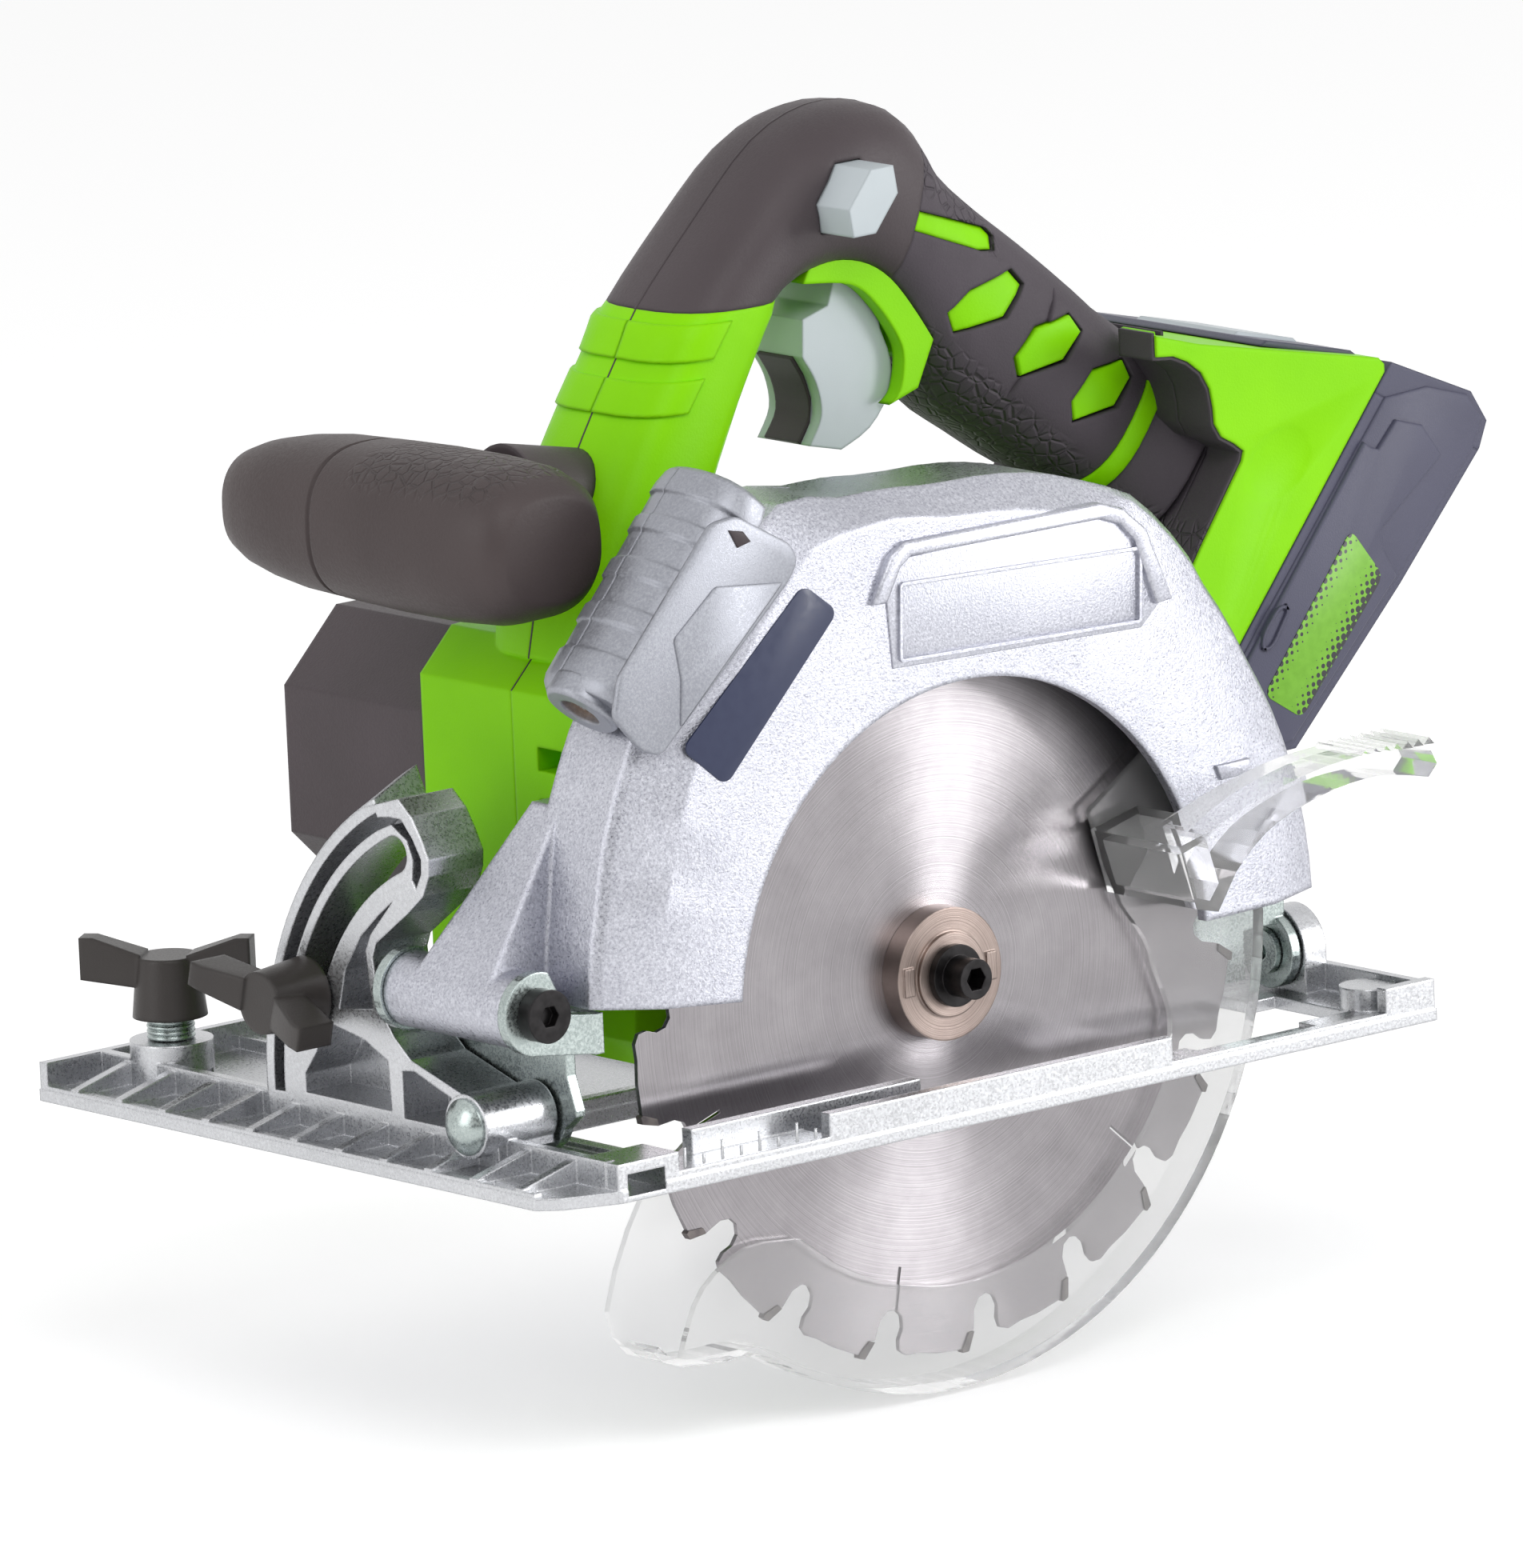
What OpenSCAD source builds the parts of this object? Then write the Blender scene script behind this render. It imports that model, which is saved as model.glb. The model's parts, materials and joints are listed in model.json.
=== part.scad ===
// Cordless circular saw, blade on the left of the motor.
// X runs along the sole (front is -X), Y across it (the blade side is -Y), Z is up.
// The origin lies on the sole's underside, straight below the arbor, in the blade's plane.

/* [Blade] */
// Diameter over the tooth tips
blade_d = 165; // [162:0.5:166]
// Thickness of the blade's plate
plate_t = 1.1; // [1.0:0.1:1.4]
// Width of the cut that the carbide tips make
kerf = 1.8; // [1.7:0.1:2.2]
// Number of teeth
teeth = 18; // [16:1:24]
// Bore of the blade
blade_bore = 20; // [16:1:20]
// Depth of the gullets
gullet_depth = 11; // [8:0.5:12]

/* [Drive] */
// Height of the arbor above the sole's underside
arbor_h = 27.5; // [27:0.5:29]
// Teeth of the gear on the spindle
spindle_teeth = 29; // [28:1:30]
// Teeth of the pinion that drives it
counter_pinion_teeth = 18; // [17:1:19]
// Teeth of the larger gear on the countershaft
counter_gear_teeth = 40; // [39:1:41]
// Teeth of the pinion on the motor's shaft
motor_teeth = 13; // [12:1:14]
// Play between meshing teeth, along the pitch circle
backlash = 0.5; // [0.4:0.05:0.6]

/* [Motor] */
// Distance of the motor's axis in front of the arbor
motor_ahead = 38; // [37.5:0.1:38.2]
// Distance of the motor's axis above the arbor
motor_above = 40.5; // [40:0.1:40.7]
// Outer radius of the motor's can
can_r = 28.5; // [27.5:0.5:29]
// Length of the armature's laminated stack
stack_l = 32; // [28:1:34]
// Outer end of the motor's end cap, from the blade
cap_end = 130; // [128:1:134]

/* [Sole] */
// Distance from the arbor to the sole's front edge
sole_front = 122; // [120:1:126]
// Distance from the arbor to the sole's rear edge
sole_rear = 118; // [117:1:122]
// Distance from the blade to the sole's edge under the motor
sole_wide = 149; // [145:1:155]
// Distance from the blade to the sole's near edge
sole_near = 25; // [25:0.5:27]
// Thickness of the sole's floor
floor_t = 2.6; // [2.2:0.1:3]
// Height of the rim round the sole
rim_h = 8.4; // [8:0.2:8.8]
// Thickness of the sole's rims and ribs
rim_t = 2.5; // [2:0.1:3]

/* [Adjustment] */
// Depth pivot: distance in front of the arbor
depth_ahead = 108; // [107:0.5:109]
// Depth pivot: height above the sole's underside
depth_h = 37; // [36.5:0.5:38]
// Bevel pivots: distance from the blade towards the motor
bevel_y = 16.5; // [15.5:0.5:17.5]
// Bevel pivots: height above the sole's underside
bevel_h = 11.5; // [11:0.5:12]
// Radius of the curved bevel slot
bevel_slot_r = 58.8; // [58:0.2:59.4]
// Largest bevel angle
bevel_max = 45; // [40:1:45]
// Largest swing of the depth adjustment
depth_max = 27; // [20:1:27]

/* [Guards] */
// Gap between the teeth and the wall of the lower guard
tooth_gap = 4.7; // [4.4:0.1:5]
// Distance from the lower guard's outside to the upper guard's
guard_gap = 10.5; // [10.2:0.1:11]
// Wall thickness of the upper guard
guard_wall = 3; // [2.6:0.1:3.2]
// Radius of the opening in the upper guard's face
window_r = 63.7; // [62:0.5:65]
// Wall thickness of the lower guard
lower_wall = 1.8; // [1.6:0.1:2]

/* [Handle] */
// Distance of the handle's middle from the blade
grip_y = 50; // [49.5:0.5:51]
// Thickness of the rubber over the handle
rubber_t = 2.4; // [2:0.1:2.8]
// Length of the front handle
front_grip_l = 100; // [96:1:104]

/* [Battery] */
// Length of the battery along its rails
battery_l = 107; // [104:1:110]
// Width of the battery
battery_w = 74; // [73:0.5:74.5]
// Thickness of the battery outside the dock
battery_t = 31; // [30:0.5:33]
// Slope of the battery's rails
rail_angle = 50; // [49:0.5:51]

/* [Fits] */
// Running clearance of a shaft in its bore
run = 0.06; // [0.04:0.01:0.08]
// Gap between pieces that move past each other
gap = 0.4; // [0.35:0.05:0.5]

/* [Hidden] */
$fn = 48;

// --- colours ---
silver = "silver";
dark = "#4b4648";
green = "#86d40f";
zinc = "#a9b6b8";
steel = "#9a9a9c";
clear = [0.85, 0.88, 0.9, 0.35];

// --- points and curves ---
function polar(r, a) = [r * cos(a), r * sin(a)];
function arc(r, a0, a1, n, c = [0, 0]) = [for (i = [0:n]) c + polar(r, a0 + (a1 - a0) * i / n)];
function ring_sector(r0, r1, a0, a1, n) = concat(arc(r1, a0, a1, n), arc(r0, a1, a0, n));
function mix(a, b, t) = a + (b - a) * t;
// Value at x on a curve through a list of [x, value] pairs, eased between them
function eased(table, x, i = 0) =
    x <= table[0][0] ? table[0][1] :
    i >= len(table) - 1 ? table[len(table) - 1][1] :
    x <= table[i + 1][0] ? mix(table[i][1], table[i + 1][1],
        ease((x - table[i][0]) / (table[i + 1][0] - table[i][0]))) :
    eased(table, x, i + 1);
function ease(t) = t * t * (3 - 2 * t) * 0.5 + t * 0.5;
// Smooth curve through points, k steps to a span
function through(p, k) = concat([for (i = [0:len(p) - 2], j = [0:k - 1])
    bend(p[max(i - 1, 0)], p[i], p[i + 1], p[min(i + 2, len(p) - 1)], j / k)], [p[len(p) - 1]]);
function bend(a, b, c, d, t) = 0.5 * (2 * b + (c - a) * t + (2 * a - 5 * b + 4 * c - d) * t * t
    + (3 * b - a - 3 * c + d) * t * t * t);
function sign_pow(v, e) = sign(v) * pow(abs(v), e);

// --- placing ---
// A drawing in X and Z, drawn out along Y
module along_y(y0, y1) translate([0, y1, 0]) rotate([90, 0, 0]) linear_extrude(y1 - y0) children();
// A drawing in Y and Z, drawn out along X
module along_x(x0, x1) translate([x0, 0, 0]) rotate([90, 0, 90]) linear_extrude(x1 - x0) children();
module rod_y(r, y0, y1, at = [0, 0]) translate([at[0], y1, at[1]]) rotate([90, 0, 0])
    cylinder(r = r, h = y1 - y0);
module rod_x(r, x0, x1, at = [0, 0]) translate([x0, at[0], at[1]]) rotate([0, 90, 0])
    cylinder(r = r, h = x1 - x0);
module rod_z(r, z0, z1, at = [0, 0]) translate([at[0], at[1], z0]) cylinder(r = r, h = z1 - z0);
module box(low, high) translate(low) cube(high - low);
// Skin over a row of rings that all have as many points
module skin(rings) {
    m = len(rings[0]);
    n = len(rings);
    sides = [for (i = [0:n - 2], j = [0:m - 1]) each [
        [i * m + j, (i + 1) * m + j, (i + 1) * m + (j + 1) % m],
        [i * m + j, (i + 1) * m + (j + 1) % m, i * m + (j + 1) % m]]];
    caps = [[for (j = [0:m - 1]) j], [for (j = [0:m - 1]) n * m - 1 - j]];
    polyhedron([for (r = rings) each r], concat(sides, caps), convexity = 8);
}
// Sleeve between two rows of rings that run along each other
module sleeve(outer, inner) {
    m = len(outer[0]);
    n = len(outer);
    k = n * m;
    walls = [for (i = [0:n - 2], j = [0:m - 1]) each [
        [i * m + j, (i + 1) * m + j, (i + 1) * m + (j + 1) % m],
        [i * m + j, (i + 1) * m + (j + 1) % m, i * m + (j + 1) % m],
        [k + i * m + j, k + (i + 1) * m + (j + 1) % m, k + (i + 1) * m + j],
        [k + i * m + j, k + i * m + (j + 1) % m, k + (i + 1) * m + (j + 1) % m]]];
    e = (n - 1) * m;
    ends = [for (j = [0:m - 1]) each [
        [j, (j + 1) % m, k + (j + 1) % m], [j, k + (j + 1) % m, k + j],
        [e + j, k + e + (j + 1) % m, e + (j + 1) % m], [e + j, k + e + j, k + e + (j + 1) % m]]];
    polyhedron(concat([for (r = outer) each r], [for (r = inner) each r]), concat(walls, ends),
        convexity = 8);
}

// --- shared places and sizes ---
arbor = [0, arbor_h];
motor = [-motor_ahead, arbor_h + motor_above];
depth_pivot = [-depth_ahead, depth_h];
bevel_pivot = [bevel_y, bevel_h];
blade_r = blade_d / 2;
lower_r = blade_r + tooth_gap + lower_wall;
guard_r = lower_r + guard_gap;
spindle_r = 6;
tail_r = 4;
hub_r = 19;
hub_y = 5.4;
back_y = 9.4;
case_y = 12.4;
stage2_y = [21.5, 30.5];
stage1_y = [31.5, 37.5];
cover_y = [39, 47.5];
cap_y = 80;
face_y = -14.6;
rim_y = -8.5;
face_t = 2.8;

// --- gears ---
module_2 = 1.25;
module_1 = 1;
centre_2 = module_2 * (spindle_teeth + counter_pinion_teeth) / 2;
centre_1 = module_1 * (counter_gear_teeth + motor_teeth) / 2;
span = norm(motor - arbor);
along = (centre_2 * centre_2 - centre_1 * centre_1 + span * span) / (2 * span);
aside = sqrt(max(0, centre_2 * centre_2 - along * along));
toward_motor = (motor - arbor) / span;
counter = arbor + along * toward_motor + aside * [toward_motor[1], -toward_motor[0]];
mesh_angle_2 = atan2(counter[1] - arbor[1], counter[0] - arbor[0]);
mesh_angle_1 = atan2(motor[1] - counter[1], motor[0] - counter[0]);
pressure = 20;
function involute(base, t) = base * [cos(t * 180 / PI) + t * sin(t * 180 / PI),
    sin(t * 180 / PI) - t * cos(t * 180 / PI)];
function turn(p, a) = [p[0] * cos(a) - p[1] * sin(a), p[0] * sin(a) + p[1] * cos(a)];
// Angle by which half a tooth is wide at the base circle
function half_tooth(m, z) = 90 / z + (tan(pressure) * 180 / PI - pressure)
    - backlash / (m * z) * 90 / PI;
function flank(m, z) = let (base = m * z / 2 * cos(pressure), tip = m * z / 2 + 0.9 * m,
    root = m * z / 2 - 1.2 * m, low = max(base, root), t0 = sqrt(max(0, pow(low / base, 2) - 1)),
    t1 = sqrt(pow(tip / base, 2) - 1))
    concat([polar(root, 0)], [for (i = [0:3]) involute(base, mix(t0, t1, i / 3))]);
function gear_points(m, z, start) = let (f = flank(m, z), h = half_tooth(m, z), n = len(f))
    [for (k = [0:z - 1], s = [0:2 * n - 1]) s < n ? turn(f[s], start + k * 360 / z - h) :
        turn([f[2 * n - 1 - s][0], -f[2 * n - 1 - s][1]], start + k * 360 / z + h)];
// One gear; a tooth's middle points along start
module gear(m, z, start, y0, y1, at, bore) difference() {
    translate([at[0], 0, at[1]]) along_y(y0, y1) polygon(gear_points(m, z, start));
    if (bore > 0) rod_y(bore, y0 - 1, y1 + 1, at);
}
// A gap of the driven wheel faces the tooth of the driver along the line of centres
counter_start_2 = mesh_angle_2 + 180;
spindle_start = mesh_angle_2 + 180 / spindle_teeth;
counter_start_1 = mesh_angle_1;
motor_start = mesh_angle_1 + 180 + 180 / motor_teeth;

// --- upper guard ---
// Radius of the guard's edge by angle: round behind, drawn out over the laser in front
guard_edge = [[1.5, 0], [32, 0], [43, 2], [52, 6], [60, 8.5], [70, 7], [90, 4.7], [102, 8], [111, 15],
    [118, 13], [128, 9.5], [140, 6.5], [152, 3.5], [163, 0.5], [174.5, -0.6]];
guard_face = [[1.5, -16.5], [32, -17], [42, -15.5], [52, -10], [62, -4.5], [72, -1], [90, -1.5],
    [102, 3], [112, 5.5], [120, 1], [130, -3.5], [142, -7], [155, -11], [165, -13], [174.5, -14.9]];
guard_from = 1.5;
guard_to = 174.5;
function edge_r(a) = guard_r + eased(guard_edge, a);
function face_r(a) = guard_r + eased(guard_face, a);
function guard_ring(a) = [for (p = [[edge_r(a), case_y], [edge_r(a), rim_y + 1], [edge_r(a) - 1.5, rim_y - 0.8],
    [face_r(a), face_y], [window_r, face_y], [window_r, face_y + face_t], [face_r(a) - 2, face_y + face_t],
    [edge_r(a) - guard_wall, rim_y + 1.6], [edge_r(a) - guard_wall, case_y]])
    [p[0] * cos(a), p[1], arbor_h + p[0] * sin(a)]];
module guard_back() {
    steps = 36;
    polygon(concat([for (i = [0:steps]) let (a = mix(guard_from, guard_to, i / steps))
        arbor + polar(edge_r(a), a)], [[-62, arbor_h + 6]], [for (p = arc(30, 200, 340, 12, arbor)) p],
        [[62, arbor_h + 1.6]]));
}
arm_top = [-86, depth_h + 39];
tube_r = 8;
tube_y = [0, 38];
pivot_r = 4;
module upper_guard() color(silver) {
    steps = 44;
    difference() {
        union() {
            skin([for (i = [steps:-1:0]) guard_ring(mix(guard_from, guard_to, i / steps))]);
            along_y(back_y, case_y) guard_back();
            // Arm down to the depth pivot
            hull() {
                rod_y(tube_r, tube_y[0] + 6, tube_y[1] - 8, depth_pivot, $fn = 32);
                box([arm_top[0] - 4, back_y, arm_top[1] - 6], [arm_top[0] + 1, case_y + 6, arm_top[1]]);
            }
            rod_y(tube_r, tube_y[0], tube_y[1], depth_pivot);
            // Boss for the depth lock
            rod_y(7, back_y, guide_y[0] - 0.3, lock_at);
        }
        rod_y(hub_r + 8, back_y - 6, back_y, arbor);
        rod_y(hub_r, back_y - 1, case_y + 1, arbor);
        rod_y(pivot_r, tube_y[0] - 1, tube_y[1] + 1, depth_pivot);
        rod_y(3, back_y - 1, guide_y[0] + 1, lock_at);
        for (a = guard_screw_angles) {
            rod_y(1.5, back_y - 1, case_y + 1, arbor + polar(guard_screw_r, a));
            rod_y(3, back_y - 1, back_y + 2, arbor + polar(guard_screw_r, a));
        }
    }
}
guard_screw_angles = [20, 75, 180, 230, 310];
guard_screw_r = 24.5;
// Raised field on the guard's face and a bare hexagon badge
module guard_panel() color(silver) {
    along_y(face_y - 0.8, face_y) polygon([[-19, 103], [-24.5, 108.5], [-16, 119], [-11, 121.5], [41, 117.5],
        [46, 112], [46, 96.5]]);
    along_y(face_y - 1, face_y) polygon([[40, 90.5], [50, 94.5], [60, 92], [59, 84.5], [50, 80.5], [40.5, 84]]);
}
// Screws that hold the guard to the gear case
module guard_screws() color(steel) for (a = guard_screw_angles) {
    rod_y(1.5, back_y + 2, case_y + 3.6, arbor + polar(guard_screw_r, a));
    difference() {
        rod_y(2.9, back_y + 0.1, back_y + 2, arbor + polar(guard_screw_r, a));
        rod_y(1.2, back_y - 1, back_y + 1.2, arbor + polar(guard_screw_r, a), $fn = 6);
    }
}

// --- gear case ---
case_wall = 3;
spindle_well = module_2 * (spindle_teeth / 2 + 1) + 0.8;
counter_well = module_1 * (counter_gear_teeth / 2 + 1) + 0.8;
motor_well = 12;
module link(p, q, w) translate(p) rotate(atan2(q[1] - p[1], q[0] - p[0])) translate([0, -w])
    square([norm(q - p), 2 * w]);
module case_outline(grow) {
    translate(arbor) circle(spindle_well + grow);
    translate(counter) circle(counter_well + grow);
    translate(motor) circle(motor_well + grow);
    link(arbor, counter, spindle_well + grow - 1.5);
    link(counter, motor, motor_well + grow - 1.5);
}
module gear_case() color(silver) difference() {
    union() {
        along_y(case_y, cover_y[0]) case_outline(case_wall);
        rod_y(hub_r, hub_y, case_y, arbor);
        for (a = guard_screw_angles) rod_y(4, case_y, case_y + 6, arbor + polar(guard_screw_r, a));
    }
    along_y(stage2_y[0] - 0.6, cover_y[0] + 1) case_outline(0);
    rod_y(14, case_y + 0.4, stage2_y[0], arbor);
    rod_y(10.5, hub_y - 1, case_y + 1, arbor);
    rod_y(8, case_y + 2, stage2_y[0], counter);
    for (a = guard_screw_angles) rod_y(1.5, case_y - 1, case_y + 4, arbor + polar(guard_screw_r, a));
}
module gear_cover() color(silver) difference() {
    along_y(cover_y[0], cover_y[1]) case_outline(case_wall);
    rod_y(9.5, cover_y[0] + 1, cover_y[1] - 1, arbor);
    rod_y(tail_r + 1, cover_y[0] - 1, cover_y[1], arbor);
    rod_y(8, cover_y[0] + 1, cover_y[1] - 1, counter);
    rod_y(5, cover_y[0] - 1, cover_y[1], counter);
    rod_y(11, cover_y[0] + 1, cover_y[1] + 1, motor);
    rod_y(8.5, cover_y[0] - 1, cover_y[1], motor);
    rod_y(lock_pin_r + run, cover_y[0] - 1, cover_y[1] + 1, lock_pin_at);
}
module bearing(r_out, r_in, y0, y1, at) {
    race = (r_out - r_in) / 3.4;
    ball = (r_out - r_in) / 3.6;
    mid = (y0 + y1) / 2;
    difference() {
        rod_y(r_out, y0, y1, at);
        rod_y(r_out - race, y0 - 1, y1 + 1, at);
    }
    difference() {
        rod_y(r_in + race, y0, y1, at);
        rod_y(r_in, y0 - 1, y1 + 1, at);
    }
    // Shield that closes the cage between the races
    difference() {
        rod_y(r_out - race, y0 + 0.6, y1 - 0.6, at);
        rod_y(r_in + race, y0 - 1, y1 + 1, at);
    }
}
module case_bearings() color(steel) {
    bearing(14, spindle_r + run, case_y + 0.4, stage2_y[0] - 0.7, arbor);
    bearing(9.5, tail_r + run, cover_y[0] + 1, cover_y[1] - 1, arbor);
    bearing(8, tail_r + run, case_y + 2, stage2_y[0] - 0.7, counter);
    bearing(8, tail_r + run, cover_y[0] + 1, cover_y[1] - 1, counter);
}

// --- rotating pieces ---
module saw_blade() color("#8d8a8c") difference() {
    along_y(-plate_t / 2, plate_t / 2) translate(arbor) polygon([for (k = [0:teeth - 1]) each tooth(k)]);
    rod_y(blade_bore / 2, -plate_t, plate_t, arbor);
    // Slots that let the rim expand
    for (k = [0:3:teeth - 1]) translate([arbor[0], 0, arbor[1]]) rotate([0, -tooth_at(k) - 6, 0])
        box([blade_r - gullet_depth - 9, -plate_t, -0.35], [blade_r - gullet_depth + 2, plate_t, 0.35]);
}
pitch_angle = 360 / teeth;
function tooth_at(k) = 12.3 + k * pitch_angle;
// One tooth: tip, face, gullet, and the shoulder that limits the bite
function tooth(k) = let (a = tooth_at(k), g = gullet_depth, s = pitch_angle / 20) [
    polar(blade_r - 0.7, a - 0.3 * s), polar(blade_r - 4, a + 1.2 * s), polar(blade_r - 4.2, a + 2.4 * s),
    polar(blade_r - g + 2.6, a + 2.9 * s), polar(blade_r - g + 0.4, a + 4.2 * s), polar(blade_r - g, a + 5.9 * s),
    polar(blade_r - g + 1.3, a + 7.4 * s), polar(blade_r - g + 3.8, a + 7.9 * s), polar(blade_r - 4.6, a + 7.3 * s),
    polar(blade_r - 2.4, a + 7.6 * s), polar(blade_r - 1.4, a + 9 * s), polar(blade_r - 1.7, a + 11.5 * s),
    polar(blade_r - 1.1, a + 15 * s)];
// Carbide tips brazed into the notches
module carbide_tips() color("#6b6a6c") for (k = [0:teeth - 1]) let (a = tooth_at(k), s = pitch_angle / 20)
    along_y(-kerf / 2, kerf / 2) translate(arbor) polygon([polar(blade_r, a - 0.2 * s),
        polar(blade_r - 0.7, a - 0.3 * s), polar(blade_r - 4, a + 1.2 * s), polar(blade_r - 3.9, a + 2.3 * s),
        polar(blade_r, a + 0.9 * s)]);
module inner_flange() color("#7d7470") difference() {
    union() {
        rod_y(15, plate_t / 2, plate_t / 2 + 2.6, arbor);
        rod_y(9.8, plate_t / 2 + 2.6, hub_y + 5, arbor);
        rod_y(blade_bore / 2 - run, -plate_t / 2, plate_t / 2, arbor);
    }
    rod_y(spindle_r, -plate_t, hub_y + 6, arbor);
}
module outer_flange() color("#7d7470") difference() {
    union() {
        rod_y(14.1, -plate_t / 2 - 5.2, -plate_t / 2, arbor);
        rod_y(9, -plate_t / 2 - 6.2, -plate_t / 2, arbor);
        // Two flats' keys
        for (s = [-1, 1]) box([s * 11.2 - 1.3, -plate_t / 2 - 5.7, arbor_h - 3],
            [s * 11.2 + 1.3, -plate_t / 2 - 5, arbor_h + 3]);
    }
    rod_y(4, -plate_t / 2 - 8, plate_t, arbor);
}
module blade_bolt() color("#252326") difference() {
    union() {
        rod_y(6.6, -plate_t / 2 - 8, -plate_t / 2 - 6.2, arbor);
        rod_y(4.3, -plate_t / 2 - 13.7, -plate_t / 2 - 7.5, arbor);
        rod_y(4, -plate_t / 2 - 7, 12, arbor);
    }
    rod_y(2.6, -plate_t / 2 - 15, -plate_t / 2 - 9, arbor, $fn = 6);
}
module spindle() color(steel) difference() {
    union() {
        rod_y(spindle_r, -plate_t / 2, stage2_y[0] - 0.5, arbor);
        rod_y(7.5, stage2_y[0] - 0.5, stage2_y[1], arbor);
        rod_y(tail_r, stage2_y[1], cover_y[1] - 1.4, arbor);
    }
    rod_y(4, -plate_t, 12, arbor);
}
module spindle_gear() color(steel) difference() {
    gear(module_2, spindle_teeth, spindle_start, stage2_y[0], stage2_y[1], arbor, 7.5);
    for (k = [0:3]) rod_y(lock_pin_r + gap, stage2_y[0] - 1, stage2_y[1] + 1,
        arbor + polar(lock_circle, mesh_angle_2 + 180 + k * 90));
}
module countershaft() color(steel) {
    rod_y(tail_r, case_y + 2.4, stage2_y[0], counter);
    gear(module_2, counter_pinion_teeth, counter_start_2, stage2_y[0], stage2_y[1], counter, 0);
    rod_y(5.5, stage2_y[1], stage1_y[1] + 0.4, counter);
    rod_y(tail_r, stage1_y[1] + 0.4, cover_y[1] - 1.4, counter);
}
module counter_gear() color(steel) gear(module_1, counter_gear_teeth, counter_start_1, stage1_y[0], stage1_y[1], counter, 5.5);

// --- motor ---
stack_y = 61;
fan_y = [49.5, 56];
comm_y = [stack_y + stack_l + 5, stack_y + stack_l + 14];
shaft_end = comm_y[1] + 10;
motor_shaft_r = 3.5;
module rotor_shaft() color(steel) {
    gear(module_1, motor_teeth, motor_start, stage1_y[0], stage1_y[1], motor, 0);
    rod_y(motor_shaft_r, stage1_y[1], shaft_end, motor);
}
module armature() color("#7a4a2c") difference() {
    union() {
        along_y(stack_y, stack_y + stack_l) translate(motor) difference() {
            circle(17.5);
            for (k = [0:11]) rotate(k * 30) translate([15.2, 0]) square([6, 1.8], center = true);
        }
        for (y = [stack_y - 4, stack_y + stack_l]) rod_y(14.5, y, y + 4, motor);
    }
    rod_y(motor_shaft_r, stack_y - 5, stack_y + stack_l + 5, motor);
}
module commutator() color("#b87333") difference() {
    rod_y(9, comm_y[0], comm_y[1], motor);
    rod_y(motor_shaft_r, comm_y[0] - 1, comm_y[1] + 1, motor);
    for (k = [0:11]) translate([motor[0], 0, motor[1]]) rotate([0, k * 30, 0])
        box([8.2, comm_y[0] - 1, -0.3], [10, comm_y[1] + 1, 0.3]);
}
module fan() color("#2b2b2d") difference() {
    union() {
        rod_y(8, fan_y[0], fan_y[1], motor);
        rod_y(25, fan_y[1] - 1.4, fan_y[1], motor);
        for (k = [0:10]) translate([motor[0], 0, motor[1]]) rotate([0, k * 360 / 11, 0])
            box([7, fan_y[0], -0.8], [24.5, fan_y[1] - 1, 0.8]);
    }
    rod_y(motor_shaft_r, fan_y[0] - 1, fan_y[1] + 1, motor);
}
module motor_can() color("#8a8d90") difference() {
    rod_y(can_r, stack_y - 3, comm_y[1] + 4, motor);
    rod_y(can_r - 2, stack_y - 4, comm_y[1] + 5, motor);
}
module motor_magnets() color("#3c3c40") for (s = [0, 180]) along_y(stack_y - 1, stack_y + stack_l + 1)
    translate(motor) rotate(s) polygon(ring_sector(19, can_r - 2.1, -62, 62, 16));
module brush_holders() color("#8f6b35") for (s = [-1, 1]) {
    translate([motor[0], 0, motor[1]]) rotate([0, s > 0 ? 0 : 180, 0])
        box([9.6, comm_y[0] + 1, -3], [can_r - 2.5, comm_y[1] - 1, 3]);
}
module motor_bearings() color(steel) {
    bearing(11, motor_shaft_r + run, cover_y[0] + 1, cover_y[1], motor);
    bearing(9.5, motor_shaft_r + run, shaft_end - 7.4, shaft_end - 0.4, motor);
}
cap_half = 30;
module octagon(h, c) polygon([[-h + c, -h], [h - c, -h], [h, -h + c], [h, h - c], [h - c, h], [-h + c, h],
    [-h, h - c], [-h, -h + c]]);
module motor_end_cap() color(dark) difference() {
    union() {
        hull() {
            along_y(cap_y, cap_end - 3.5) translate(motor) octagon(cap_half + 0.8, 15);
            along_y(cap_end - 1, cap_end) translate(motor) octagon(cap_half - 2.4, 13.5);
        }
    }
    rod_y(can_r + 0.1, cap_y - 1, comm_y[1] + 4.2, motor);
    rod_y(9.5, comm_y[1] + 4, shaft_end, motor);
    // Air slots in the end wall
    for (i = [-2:2]) box([motor[0] - 12, cap_end - 2.5, motor[1] + i * 7 - 1.3],
        [motor[0] + 12, cap_end + 1, motor[1] + i * 7 + 1.3]);
}

// --- housing halves ---
// Sections of the handle: upper edge, lower edge and half width
handle = [[[-64, 98], [-22, 104], 20], [[-58, 121], [-25, 122], 19.5], [[-47, 142], [-16.5, 141], 18.5],
    [[-36.5, 158], [-8, 156], 18], [[-31, 167], [-1, 166.5], 18], [[-14, 184], [3.5, 168.5], 18],
    [[2, 198], [9.5, 169], 18], [[17, 203.5], [15, 168.5], 18], [[31, 202.5], [21, 166.5], 18],
    [[38.5, 197], [26.5, 162.5], 17.5], [[45, 187], [31.5, 156.5], 17], [[56, 177.5], [37, 147.5], 17],
    [[69, 167.5], [43.5, 136], 17.5], [[81, 157.5], [56, 127], 18], [[91, 148], [70, 118], 18.5],
    [[98, 141.5], [84, 111.5], 19], [[108, 136], [98, 103], 22]];
cap_from = 4;
cap_to = 9;
rubber_to = 14;
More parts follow.
